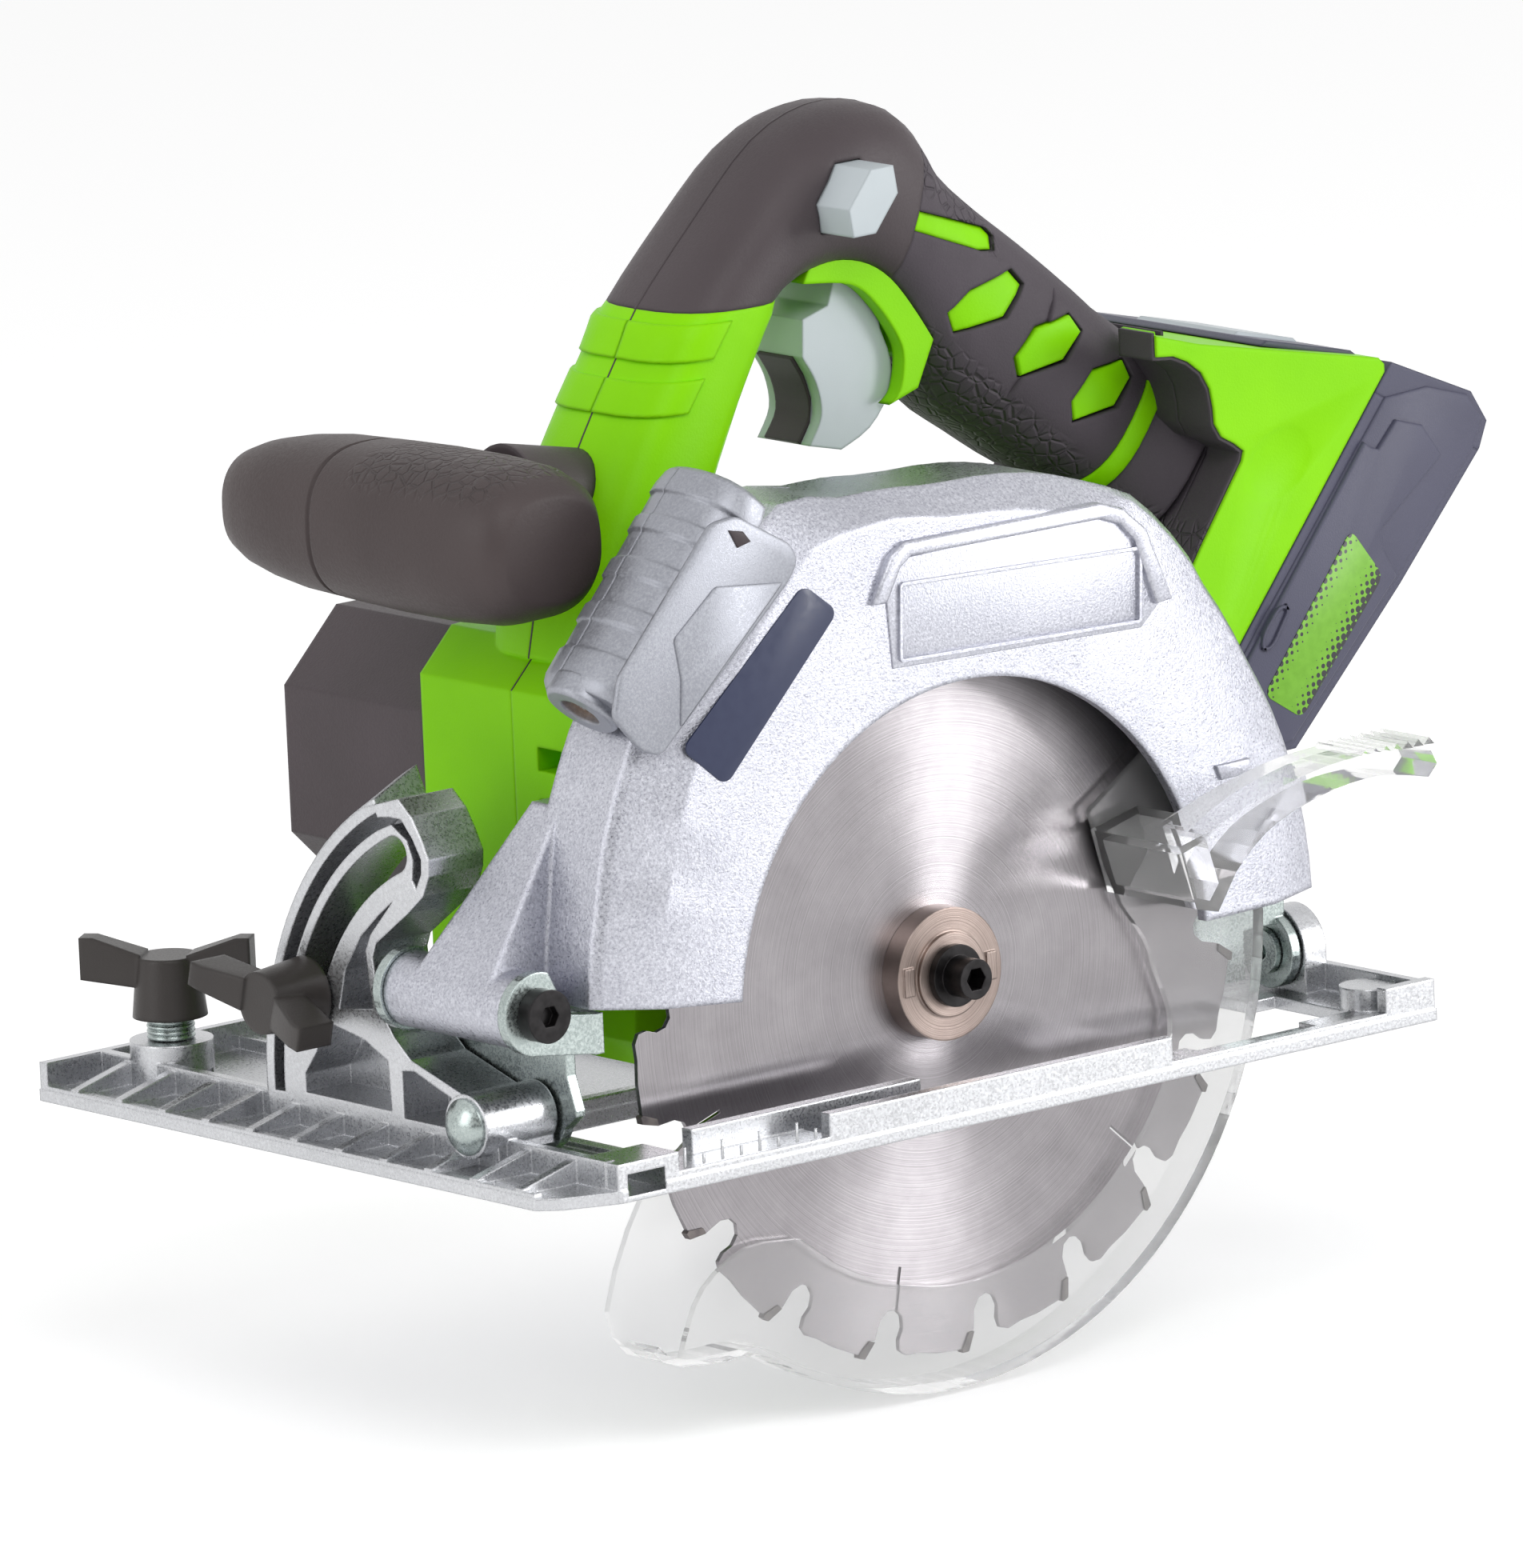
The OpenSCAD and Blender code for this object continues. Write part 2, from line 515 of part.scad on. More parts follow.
function section(s, inset, a0, a1, n, e) = let (c = (s[0] + s[1]) / 2, d = (s[0] - s[1]) / 2,
    h = d * (1 - inset / norm(d)), w = s[2] - inset)
    [for (i = [0:n]) let (a = mix(a0, a1, i / n), u = sign_pow(cos(a), 2 / e), v = sign_pow(sin(a), 2 / e))
        [c[0] + h[0] * u, grip_y + w * v, c[1] + h[1] * u]];
fine = 3;
handle_top = through([for (h = handle) h[0]], fine);
handle_foot = through([for (h = handle) h[1]], fine);
handle_half = through([for (h = handle) h[2]], fine);
function whole(from, to, inset) = [for (k = [from * fine:to * fine])
    section([handle_top[k], handle_foot[k], handle_half[k]], inset, 360, 15, 23, k < cap_from * fine ? 3.2 : 2.6)];
// The housing's handle, thinner where the cap and the rubber lie over it
module handle_core() skin(concat(whole(0, cap_from, 0), whole(cap_from, rubber_to, rubber_t),
    whole(rubber_to, len(handle) - 1, 0)));
module barrel_outline() polygon(concat([[-69, 22], [-69, 92]], [[-60, 101]], [[-16, 103], [-4, 92], [-4, 40],
    [-30, 34], [-38, 15], [-62, 15]]));
module bridge_outline() polygon([[-30, 60], [-10, 66], [30, 70], [66, 78], [76, 71], [84, 72], [98, 100], [66, 112],
    [-22, 112], [-40, 104]]);
rail_dir = [cos(rail_angle), sin(rail_angle)];
rail_out = [sin(rail_angle), -cos(rail_angle)];
rail_foot = [101.8, 81.9] - 32 * [cos(50), sin(50)];
// Place in X and Z from a distance up the rails and a distance out from the dock
function at_rail(u, v) = rail_foot + u * rail_dir + v * rail_out;
module dock_outline() polygon([[74, 150.5], [92, 145.3], at_rail(98.5, -3.3), at_rail(98.3, -1.1), at_rail(97, 0), at_rail(8, 0),
    at_rail(6, -8), [73, 70], [68, 92], [75, 118]]);
dock_half = 37;
tongue_half = 24;
// Recess in the dock for the battery's tongue and its flanges
module dock_recess(grow) {
    slide_along(12 - grow, 140, -10 - grow, 1, tongue_half - 4 + grow);
    slide_along(12 - grow, 140, -10 - grow, -5.5 + grow, tongue_half + grow);
}
module slide_along(u0, u1, v0, v1, half) translate([0, grip_y, 0]) along_y(-half, half)
    polygon([at_rail(u0, v0), at_rail(u1, v0), at_rail(u1, v1), at_rail(u0, v1)]);
// One half of the housing; the seam is a flat cut through the grip's middle
module housing_half(side) difference() {
    union() {
        along_y(case_y + 1.6, cap_y) barrel_outline();
        handle_core();
        along_y(grip_y - 13, grip_y + 13) trigger_guard();
        along_y(grip_y - 16, grip_y + 16) bridge_outline();
        along_y(grip_y - dock_half, grip_y + dock_half) dock_outline();
    }
    if (side < 0) {
        along_y(case_y, cover_y[1] + 0.3) case_outline(case_wall + 0.3);
        for (i = [0:2]) box([-75, 22, 54 + i * 11], [-62, 42, 59 + i * 11]);
    }
    box([-150, side < 0 ? grip_y : -20, 0], [200, side < 0 ? cap_y + 60 : grip_y, 260]);
    rod_y(can_r + 0.1, cover_y[1], cap_y + 1, motor);
    dock_recess(gap);
    // Room for the switch and the trigger
    switch_bay();
    trigger_pocket();
    box([switch_low[0] - 2, grip_y - 3, 166], [switch_low[0], grip_y + 3, 170]);
    for (p = case_screw_at) {
        rod_y(1.5, grip_y - 12, grip_y + 10, p);
        rod_y(3.2, grip_y + 10, grip_y + 40, p);
    }
    button_hole(gap);
}
switch_low = [30, 163];
switch_high = [45, 177];
// Crescent behind the trigger
module trigger_guard() polygon(concat(through([[4, 168.5], [17, 166.5], [24, 161], [29.5, 153], [30.5, 148], [29, 142], [26, 139.5]], 5),
    [[34, 142], [40, 154], [30, 172], [8, 176]]));
module switch_bay() box([switch_low[0], grip_y - 10, switch_low[1]], [switch_high[0], grip_y + 10, switch_high[1]]);
module trigger_pocket() {
    box([-2, grip_y - 9.2, 128], [36.5, grip_y + 9.2, 163]);
    box([12, grip_y - 9.2, 160], [29.6, grip_y + 9.2, 176]);
}
module button_hole(grow) along_y(grip_y - 30, grip_y + 30) button_outline(grow);
button_at = [11.5, 186.5];
module button_outline(grow) translate(button_at) rotate(50) polygon([[-9 - grow, 0], [-5, -4.6 - grow], [5, -4.6 - grow],
    [9 + grow, 0], [5, 4.6 + grow], [-5, 4.6 + grow]]);
module housing_right() color(green) housing_half(-1);
module housing_left() color(green) housing_half(1);
module grip_cap() color(dark) difference() {
    sleeve(whole(cap_from, cap_to, 0), whole(cap_from, cap_to, rubber_t));
    switch_bay();
    trigger_pocket();
    button_hole(gap);
    along_y(grip_y - 13, grip_y + 13) trigger_guard();
}
module grip_rubber() color(dark) difference() {
    sleeve(whole(cap_to, rubber_to, 0), whole(cap_to, rubber_to, rubber_t));
    switch_bay();
    trigger_pocket();
    along_y(grip_y - 13, grip_y + 13) trigger_guard();
    along_y(grip_y - dock_half, grip_y + dock_half) dock_outline();
}
case_screw_at = [[-15, 97], [-60, 28], [-38, 126], [78, 84], [62, 100], [58, 156]];
module case_screws() color(steel) for (p = case_screw_at) {
    rod_y(1.5, grip_y - 12, grip_y + 10, p);
    difference() {
        rod_y(3, grip_y + 10, grip_y + 12.5, p);
        rod_y(1.3, grip_y + 11, grip_y + 13, p, $fn = 6);
    }
}
module switch_unit() color("#303033") {
    box([switch_low[0], grip_y - 10, switch_low[1]], [switch_high[0], grip_y + 10, switch_high[1]]);
    box([switch_low[0] - 2, grip_y - 3, 166], [switch_low[0], grip_y + 3, 170]);
    rod_y(trigger_pin_r, grip_y - 9.2, grip_y + 9.2, trigger_at);
}
module trigger() color("#c5cdd0") difference() {
    along_y(grip_y - 8.6, grip_y + 8.6) polygon(concat(through([[6.5, 152], [10, 146], [11, 139], [7.5, 133]], 4),
        through([[16, 131], [24, 134.5], [29.5, 141], [30.5, 148], [28, 155]], 3), [[27, 162], [27, 172], [23, 175],
        [18, 173], [14, 162], [7, 160]]));
    rod_y(trigger_pin_r + run, grip_y - 9, grip_y + 9, trigger_at);
}
trigger_at = [22.5, 170.5];
trigger_pin_r = 1.5;
module trigger_pad() color("#3a3638") along_y(grip_y - 5.5, grip_y + 5.5) polygon(concat(
    through([[5.7, 151.6], [9.2, 145.6], [10.2, 139], [6.8, 133.6]], 4),
    [for (i = [4:-1:0]) through([[6.5, 152], [10, 146], [11, 139], [7.5, 133]], 4)[i * 3]]));
module lock_off_button() color("#d3d7da") along_y(grip_y - 28, grip_y + 19) button_outline(0);
module dock_terminals() color("#b8862e") for (s = [-9, -3, 3, 9])
    translate([0, grip_y + s, 0]) along_y(-0.5, 0.5) polygon([at_rail(12, -5), at_rail(22, -5), at_rail(22, -2), at_rail(12, -2)]);

// --- front handle ---
front_axis = [-84, 128];
function front_section(y, rx, rz) = [for (i = [0:19]) let (a = -i * 18, u = sign_pow(cos(a), 0.85),
    v = sign_pow(sin(a), 0.85)) [front_axis[0] + rx * u, y, front_axis[1] + rz * v]];
front_from = 14;
module front_grip() color(dark) skin([for (s = [[0, 8, 9], [0.03, 12, 12.5], [0.1, 15, 15], [0.2, 17.5, 17], [0.32, 18.8, 18],
    [0.5, 19, 18.2], [0.68, 18.4, 17.2], [0.84, 16.2, 15.2], [0.94, 13.2, 12.4], [0.98, 10, 9.5], [1, 6, 6]])
    [for (p = front_section(front_from + s[0] * front_grip_l, s[1], s[2])) p]]);
module front_grip_neck() color(dark) difference() {
    hull() {
        rod_x(11, -68, -67, [grip_y, 133], $fn = 32);
        rod_x(9, -57, -47, [grip_y, 131], $fn = 32);
    }
    front_grip();
    handle_core();
}

// --- laser unit ---
laser_foot = [-85.5, 95];
laser_dir = [0.665, 0.747];
laser_side = [-0.747, 0.665];
function at_laser(u, v) = laser_foot + u * laser_dir + v * laser_side;
laser_l = 54;
module laser_outline() polygon([at_laser(0, 0.6), at_laser(0, 10), at_laser(4, 12.5), at_laser(50, 12.5), at_laser(laser_l, 9),
    at_laser(laser_l, 0.6)]);
module laser_flap() polygon([at_laser(-3, -7), at_laser(0, 10), at_laser(4, 12), at_laser(laser_l, 9), at_laser(58, -4),
    at_laser(54, -8.5), at_laser(30, -5), at_laser(4, -9)]);
laser_seam = 3;
module laser_case_right() color("#b4b6b8") difference() {
    union() {
        along_y(-15, laser_seam) laser_outline();
        along_y(face_y - 1.5, face_y - 0.1) laser_flap();
    }
    laser_bore();
    for (i = [0:3]) along_y(-13, laser_seam + 1) polygon([at_laser(10 + i * 10, 12.1), at_laser(11.4 + i * 10, 12.1),
        at_laser(11.4 + i * 10, 14), at_laser(10 + i * 10, 14)]);
}
module laser_case_left() color("#b4b6b8") difference() {
    along_y(laser_seam, 13.6) laser_outline();
    laser_bore();
}
module laser_bore() laser_frame() translate([0, 0, -1]) cylinder(r = 4.5, h = 30);
module laser_frame() translate([at_laser(0, 5.6)[0], 0, at_laser(0, 5.6)[1]]) rotate([0, 90 - atan2(laser_dir[1], laser_dir[0]), 0])
    children();
module laser_lens() color("#c08a3a") laser_frame() difference() {
    translate([0, 0, 0.6]) cylinder(r = 4.4, h = 12);
    cylinder(r = 2.2, h = 2.4);
}

// --- lower guard ---
lower_from = -155;
lower_near_from = -137;
lower_to = 33;
lower_y = [-3.6, 8];
// Outer edge by angle: a lip in front, then round
lower_out = [[-155, -7], [-149, 8], [-146, 15], [-141, 18], [-137, 14.5], [-132.6, 8.5], [-128, 1.5], [-125, 0]];
// Inner edge of the near wall by angle: a ring that widens into the neck of the lever
lower_edge = [[-120, -24], [-100, -22.9], [-89, -22], [-60, -20.3], [-30, -19.5], [-20, -22.5], [-7, -30.5], [8, -39], [19, -41],
    [33, -39]];
function out_r(a) = lower_r + eased(lower_out, a);
module lower_guard() color(clear) difference() {
    steps = 60;
    angles = [for (i = [0:steps]) mix(lower_from, lower_to, i / steps)];
    near = [for (i = [0:steps]) mix(lower_near_from, lower_to, i / steps)];
    edge = [for (i = [steps:-1:0]) mix(-120, lower_to, i / steps)];
    union() {
        along_y(lower_y[0], lower_y[1]) translate(arbor) difference() {
            polygon(concat([for (a = angles) polar(out_r(a), a)],
                [for (i = [steps:-1:0]) polar(out_r(angles[i]) - lower_wall, angles[i])]));
            polygon([[0, 0], polar(130, -180), polar(130, lower_near_from - 4), polar(90, lower_near_from - 4)]);
        }
        along_y(lower_y[1] - 1.6, lower_y[1]) translate(arbor) polygon(concat([for (a = angles) polar(out_r(a) - 0.3, a)],
            arc(hub_r + 3, lower_to, lower_from, 30)));
        along_y(lower_y[0], lower_y[0] + 1.6) translate(arbor) polygon(concat([for (a = near) polar(out_r(a) - 0.3, a)],
            [for (a = edge) polar(lower_r + eased(lower_edge, a), a)],
            through([polar(64.6, -129.7), polar(74.5, -138.9), polar(88, -140.8), polar(98, -138.5)], 3)));
        rod_y(hub_r + 4, hub_y + 0.6, back_y - 0.3, arbor);
    }
    rod_y(hub_r + run, -20, 20, arbor);
    rod_y(hub_r + 1.5, -20, hub_y + 0.5, arbor);
}
lever_y = [-32, face_y - 2.3];
module guard_lever() color(clear) {
    // Neck through the window
    difference() {
        along_y(lever_y[0], lower_y[0]) polygon([[42, 51], [55, 54], [58, 44], [52, 35.5], [46, 37]]);
        along_y(lever_y[0] + 2, lower_y[0] - 2) polygon([[44, 49], [53.5, 51.8], [56, 44], [51, 37.8], [47.4, 39]]);
    }
    along_y(lever_y[0], lever_y[1]) polygon(concat(through([[50, 53], [66, 58], [84, 61.5], [100, 62], [113, 60]], 4),
        [[114.5, 57]], through([[112, 54.5], [98, 57], [82, 55.5], [66, 50], [54, 40]], 4)));
    for (i = [0:6]) along_y(lever_y[0], lever_y[1]) polygon([[93 + i * 3, 61.6], [94.5 + i * 3, 63], [96 + i * 3, 61.4]]);
}
module guard_spring() color(steel) for (i = [0:1]) translate([arbor[0], back_y - 0.25 - i * 0.9, arbor[1]])
    rotate([90, 0, 0]) rotate_extrude() translate([hub_r + 6, 0]) circle(0.2, $fn = 16);

// --- battery ---
// A drawing in distances up the rails and out from the dock, drawn out to both sides of the grip's middle
module rail_plate(p, half) translate([0, grip_y, 0]) along_y(-half, half) polygon([for (q = p) at_rail(q[0], q[1])]);
battery_out = 0.4;
seam_u = battery_l - 15;
// Height of the battery's slanted top by its distance from the dock
function top_u(v) = battery_l - 7.4 + 0.297 * v;
module battery_case() color(dark) difference() {
    union() {
        rail_plate([[-3, battery_out], [16.2, battery_t - 7.2], [19.2, battery_t - 3.8], [63, battery_t + 0.4],
            [seam_u + 5.5, battery_t + 2.2], [seam_u, battery_out]], battery_w / 2);
        slide_along(14, battery_l - 20, -9.6, 0.5, tongue_half - 4);
        slide_along(14, battery_l - 20, -9.6, -5.9, tongue_half);
    }
    rail_plate([[0.4, 2.4], [17.8, battery_t - 7.8], [20.4, battery_t - 6], [63, battery_t - 2],
        [seam_u + 7, battery_t - 0.4], [seam_u + 2, 2.4]], battery_w / 2 - 2.4);
    for (s = [-9, -3, 3, 9]) translate([0, s, 0]) slide_along(10, 26, -7, -0.5, 1.2);
}
module battery_cover() color("#3d3a3c") difference() {
    rail_plate([[seam_u, battery_out], [top_u(battery_out), battery_out], [top_u(23.7), 23.7],
        [battery_l - 3, battery_t + 0.4], [battery_l - 8.8, battery_t + 2.2], [seam_u + 5.5, battery_t + 2.2]], battery_w / 2);
    rail_plate([[seam_u - 2, 2.4], [top_u(0) - 3, 2.4], [top_u(20) - 4.8, 20], [seam_u + 7, battery_t - 0.4],
        [seam_u - 2, battery_t - 0.4]], battery_w / 2 - 2.4);
    rail_plate([[top_u(5) - 3.7, 5], [top_u(5) + 2, 5], [top_u(22) + 2, 22], [top_u(22) - 3.7, 22]], 14.4);
}
module battery_latch() color("#b9c4bd") rail_plate([[top_u(5.3) - 0.1, 5.3], [top_u(21.7) - 0.1, 21.7],
    [top_u(21.7) - 1.5, 21.7], [top_u(5.3) - 1.5, 5.3]], 14.1);
// The cells fill the case from its slanted foot to its slanted top
cell_push = 0.5 * (31 - battery_t);
cell_pitch = (battery_l - 13.3 - cell_push) / 5.4;
cell_r = 0.519 * cell_pitch;
cell_u = 4.6 + cell_push + 1.7 * cell_r;
module battery_cells() color("#5a7fb0") for (i = [0:4])
    let (c = at_rail(cell_u + i * cell_pitch, 2.5 + cell_r + 5 * (i % 2)))
    translate([c[0], grip_y - battery_w / 2 + 4.2, c[1]]) rotate([-90, 0, 0]) cylinder(r = cell_r, h = battery_w - 8.8);

// --- spindle lock ---
lock_pin_r = 2.4;
lock_circle = 13;
lock_travel = 4;
lock_pin_at = arbor + polar(lock_circle, mesh_angle_2 + 180);
module spindle_lock() color(dark) {
    rod_y(lock_pin_r, stage2_y[1] + 0.6, cover_y[1] + lock_travel + 0.5, lock_pin_at);
    rod_y(6, cover_y[1] + lock_travel + 0.5, cover_y[1] + lock_travel + 5.5, lock_pin_at);
}

// --- depth and bevel adjustment ---
lock_arc_r = 165;
function on_lock_arc(a) = depth_pivot + polar(lock_arc_r, a);
lock_angle = -3;
lock_at = on_lock_arc(lock_angle);
plate_x = -93.5;
bracket_t = 2.5;
ear_y = [tube_y[0] - 0.2 - bracket_t, tube_y[1] + 0.2];
module tilt_bracket() color(zinc) difference() {
    union() {
        along_x(plate_x, plate_x + bracket_t) polygon(concat([[14.5, depth_h - 2.5], [ear_y[0], depth_h - 2.5],
            [ear_y[0], depth_h - 11], [7, depth_h - 11], [7, 20],
            [bevel_y - 12, bevel_h + 1.5], [bevel_y - 12, bevel_h + 0.3]], arc(8.4, 200, 300, 12, bevel_pivot),
            [[bevel_y + 9.5, 6], [40, 12], [78, 24], [80, 40], [66, 41], [48, 33], [43, depth_h + 10],
            [14.5, depth_h + 10]]));
        for (y = ear_y) along_y(y, y + bracket_t) polygon(concat(arc(8.8, 70, 270, 20, depth_pivot),
            [[plate_x + 1, depth_h - 11], [plate_x + 1, depth_h - 2.5], [-100, depth_h - 1.4]]));
    }
    rod_y(pivot_r + run, tube_y[0] - 10, tube_y[1] + 10, depth_pivot);
    rod_x(3.2, plate_x - 1, plate_x + 5, bevel_pivot);
    rod_x(3, plate_x - 1, plate_x + 5, clamp_at);
    along_x(plate_x - 1, plate_x + 5) translate([26, 40]) circle(4);
}
clamp_angle = 20;
clamp_at = bevel_pivot + polar(bevel_slot_r, clamp_angle);
module depth_bolt() color("#252326") {
    rod_y(pivot_r - run, tube_y[0] - 3, tube_y[1] + 5, depth_pivot);
    difference() {
        rod_y(5.6, tube_y[0] - 6.5, tube_y[0] - 2.8, depth_pivot);
        rod_y(2.4, tube_y[0] - 7.5, tube_y[0] - 4.5, depth_pivot, $fn = 6);
    }
    rod_y(6.5, tube_y[1] + 2.9, tube_y[1] + 6, depth_pivot, $fn = 6);
}
guide_y = [case_y + 0.8, case_y + 3.8];
rear_ear_x = sole_rear - 11;
arc_foot_x = depth_pivot[0] + lock_arc_r;
cast_ear_x = [rear_ear_x + bracket_t + 0.4, sole_rear - 2];
module rear_bracket() color(zinc) difference() {
    union() {
        along_y(guide_y[0], guide_y[1]) {
            translate(depth_pivot) polygon(ring_sector(lock_arc_r - 7.5, lock_arc_r + 7.5, -9, depth_max + 2, 16));
            polygon([[arc_foot_x - 5, 7], [rear_ear_x - 9, 7], [rear_ear_x - 9, 17.6], [rear_ear_x + 1, 17.6],
                [rear_ear_x + 1, 23.5], [arc_foot_x - 3, 24]]);
        }
        along_x(rear_ear_x, rear_ear_x + bracket_t) union() {
            translate(bevel_pivot) circle(8.2);
            polygon([[guide_y[0], bevel_h], [guide_y[1] + 5, bevel_h], [guide_y[1], 23.5], [guide_y[0], 23.5]]);
        }
    }
    along_y(guide_y[0] - 1, guide_y[1] + 1) translate(depth_pivot)
        polygon(ring_sector(lock_arc_r - 3.3, lock_arc_r + 3.3, lock_angle - 1.2, lock_angle + depth_max + 1.2, 24));
    rod_x(3.2, rear_ear_x - 1, rear_ear_x + 5, bevel_pivot);
}
module lock_stud() color(steel) rod_y(3, back_y + 0.2, guide_y[1] + 9, lock_at);
module depth_lever() color(dark) difference() {
    hull() {
        rod_y(8, guide_y[1] + 0.4, guide_y[1] + 8, lock_at, $fn = 32);
        rod_y(4.5, guide_y[1] + 3, guide_y[1] + 9, lock_at + [29, 5], $fn = 32);
    }
    rod_y(3 + run, guide_y[0], guide_y[1] + 12, lock_at);
}

// --- sole ---
opening_x = [-83.5, 97];
opening_y = [-12.5, 36];
opening_lip_x = 104;
wall_x = -107;
quad_x = [-109, -94.3];
barrel_x = -113;
channel_x = [-104.3, -94.3];
// Depth of the pockets cast into the arm's front
pocket_x = -97;
slot_half = 3.95;
slot_angles = [clamp_angle - 7, clamp_angle + bevel_max + 0.5];
arm_inner = [[22.4, 10.2], [27.6, 14.4], [31.6, 19.5], [32.8, 25], [33.5, 30.6], [32.2, 33.6], [21.1, 41.4],
    [15.9, 45.6], [13.7, 50.1], [13.4, 53.6], [15.5, 57.6], [18.5, 62.1], [22.6, 65.4]];
module arm_profile() translate(bevel_pivot) {
    low = 1 - bevel_h;
    polygon(concat([[-5.5, low], [-5.5, 0], [0, 5], [6.3, 5.4]], arm_inner, arc(bevel_slot_r + 12.2, 61, -8, 24),
        [[bevel_slot_r + 11, low]]));
}
module arm_pockets() translate(bevel_pivot) {
    r = bevel_slot_r + slot_half;
    // Groove between the outer rib and the slot's rib, carried round the slot's upper end
    polygon(ring_sector(r + 2.3, r + 5.8, -2, 64, 24));
    polygon([polar(r + 2.4, 62), polar(r + 5.6, 62), [25.7, 61.2], [21.8, 61.2], [18.3, 57.5], [15.8, 53.5], [16, 50.3],
        [18, 46.8], [19.2, 48.7], [18.7, 52.9], [20.4, 56.9], [25.3, 59.6]]);
    polygon([[25.5, 43.7], [33.8, 35.3], [35.7, 31.5], [35, 24.5], [34.1, 19.5], [45.5, 18], [43, 26.5], [37.3, 34.3],
        [31, 39.7]]);
    polygon([[29.5, -1.5], [58, -1.5], [58, 2.5], [54, 7.5], [51, 15], [37.5, 12.5], [30, 9]]);
    polygon([[9.5, -2.5], [25.5, -2.5], [25.5, 7.5], [21.5, 8], [9.5, 4]]);
}
// Curved arm with the slot that the bevel clamp rides in
module quadrant() difference() {
    union() {
        along_x(quad_x[0], quad_x[1]) arm_profile();
        rod_x(6.8, barrel_x, quad_x[1], bevel_pivot);
        // Ramp that carries the bevel scale
        translate([0, bevel_y, bevel_h]) rotate([90, 0, 90]) rotate([0, 0, 44]) rotate_extrude(angle = 20)
            polygon([[bevel_slot_r + 8, quad_x[0] + 0.5], [bevel_slot_r + 12.6, quad_x[0] + 0.5],
                [bevel_slot_r + 18, quad_x[1] - 0.5], [bevel_slot_r + 8, quad_x[1] - 0.5]]);
    }
    along_x(quad_x[0] - 1, pocket_x) arm_pockets();
    along_x(quad_x[0] - 1, quad_x[1] + 1) translate(bevel_pivot) {
        polygon(ring_sector(bevel_slot_r - slot_half, bevel_slot_r + slot_half, slot_angles[0], slot_angles[1], 24));
        for (a = slot_angles) translate(polar(bevel_slot_r, a)) circle(slot_half);
    }
}
module sole() color(silver) difference() {
    union() {
        linear_extrude(floor_t) polygon([[-sole_front, sole_wide], [-sole_front, -sole_near + 9],
            [-sole_front + 4, -sole_near + 5], [-sole_front + 16, -sole_near], [sole_rear, -sole_near],
            [sole_rear, sole_wide]]);
        // Rims: motor's side, rear, and the wall in front of the channel
        box([-sole_front + 0.2, sole_wide - rim_t, 0.3], [sole_rear - 0.2, sole_wide - 0.2, rim_h]);
        box([sole_rear - rim_t, -sole_near + 0.4, 0.3], [sole_rear - 0.2, sole_wide - 0.4, rim_h]);
        box([wall_x, -sole_near + 4, 0.3], [wall_x + rim_t, sole_wide - 1, rim_h]);
        // Rail beside the blade, low where the tilted guard comes down
        box([wall_x + 0.2, -sole_near + 0.2, 0.3], [-90.5, -sole_near + 12, rim_h - 0.2]);
        box([-50, -sole_near + 0.2, 0.3], [44, -sole_near + 3, rim_h + 0.6]);
        box([-79, opening_y[0] - rim_t, 0.3], [-17, opening_y[0] + 0.5, rim_h + 1]);
        box([43, -sole_near + 0.2, 0.3], [sole_rear - 13, -sole_near + 3, 3.8]);
        box([sole_rear - 14, -sole_near + 0.2, 0.3], [sole_rear - 0.3, -sole_near + 3, rim_h + 0.6]);
        // Low field for the figures of the scale
        box([-92, -sole_near + 0.2, 0.3], [-49, opening_y[0] - 1.5, 4.2]);
        // Front lip and its gussets
        box([-sole_front + 0.2, -sole_near + 9.4, 0.3], [-sole_front + rim_t, sole_wide - 0.3, floor_t + 0.8]);
        for (i = [0:10]) translate([0, -10.5 + i * 14.8, 0]) along_y(-rim_t / 2, rim_t / 2)
            polygon([[-sole_front + 0.4, 0.5], [-sole_front + 0.4, floor_t + 1.2], [wall_x + 1, rim_h - 0.6],
                [wall_x + 1, 0.5]]);
        // Ribs in front of the opening and across the field under the motor
        box([opening_x[0] - rim_t, opening_y[0] - 1, 0.3], [opening_x[0] + 0.5, opening_y[1] + 1, rim_h - 4.6]);
        box([opening_x[0] - 1, opening_y[1] - 0.5, 0.3], [-28, opening_y[1] + rim_t, rim_h - 2]);
        box([28, opening_y[1] - 0.5, 0.3], [opening_x[1] + 2, opening_y[1] + rim_t, rim_h - 2]);
        for (x = [-70, -22, 30, 80]) box([x, 54, 0.3], [x + rim_t, sole_wide - 1, rim_h - 3]);
        // Boss for the fence screw
        rod_z(8.9, 0.3, 12, fence_at);
        quadrant();
        // Rear ear of the bevel pivot
        along_x(cast_ear_x[0], cast_ear_x[1]) {
            translate(bevel_pivot) circle(9);
            polygon([[bevel_y - 9, 1], [bevel_y + 9, 1], [bevel_y + 9, bevel_h], [bevel_y - 9, bevel_h]]);
        }
        rod_z(6, 0.3, rim_h - 1, [sole_rear - 8, -12]);
    }
    box([opening_x[0], opening_y[0], -1], [opening_x[1], opening_y[1], floor_t + 1]);
    box([opening_x[0], opening_y[0], -1], [opening_lip_x, 11, floor_t + 1]);
    // Room for the end of the blade's bolt at the full bevel
    box([-8.5, opening_y[0] - 6.5, -1], [8.5, opening_y[0] + 1, floor_t + 1]);
    // Relief where the tilted guard comes down
    box([58, -sole_near + 3.2, 1.5], [90, opening_y[0] + 1, floor_t + 1]);
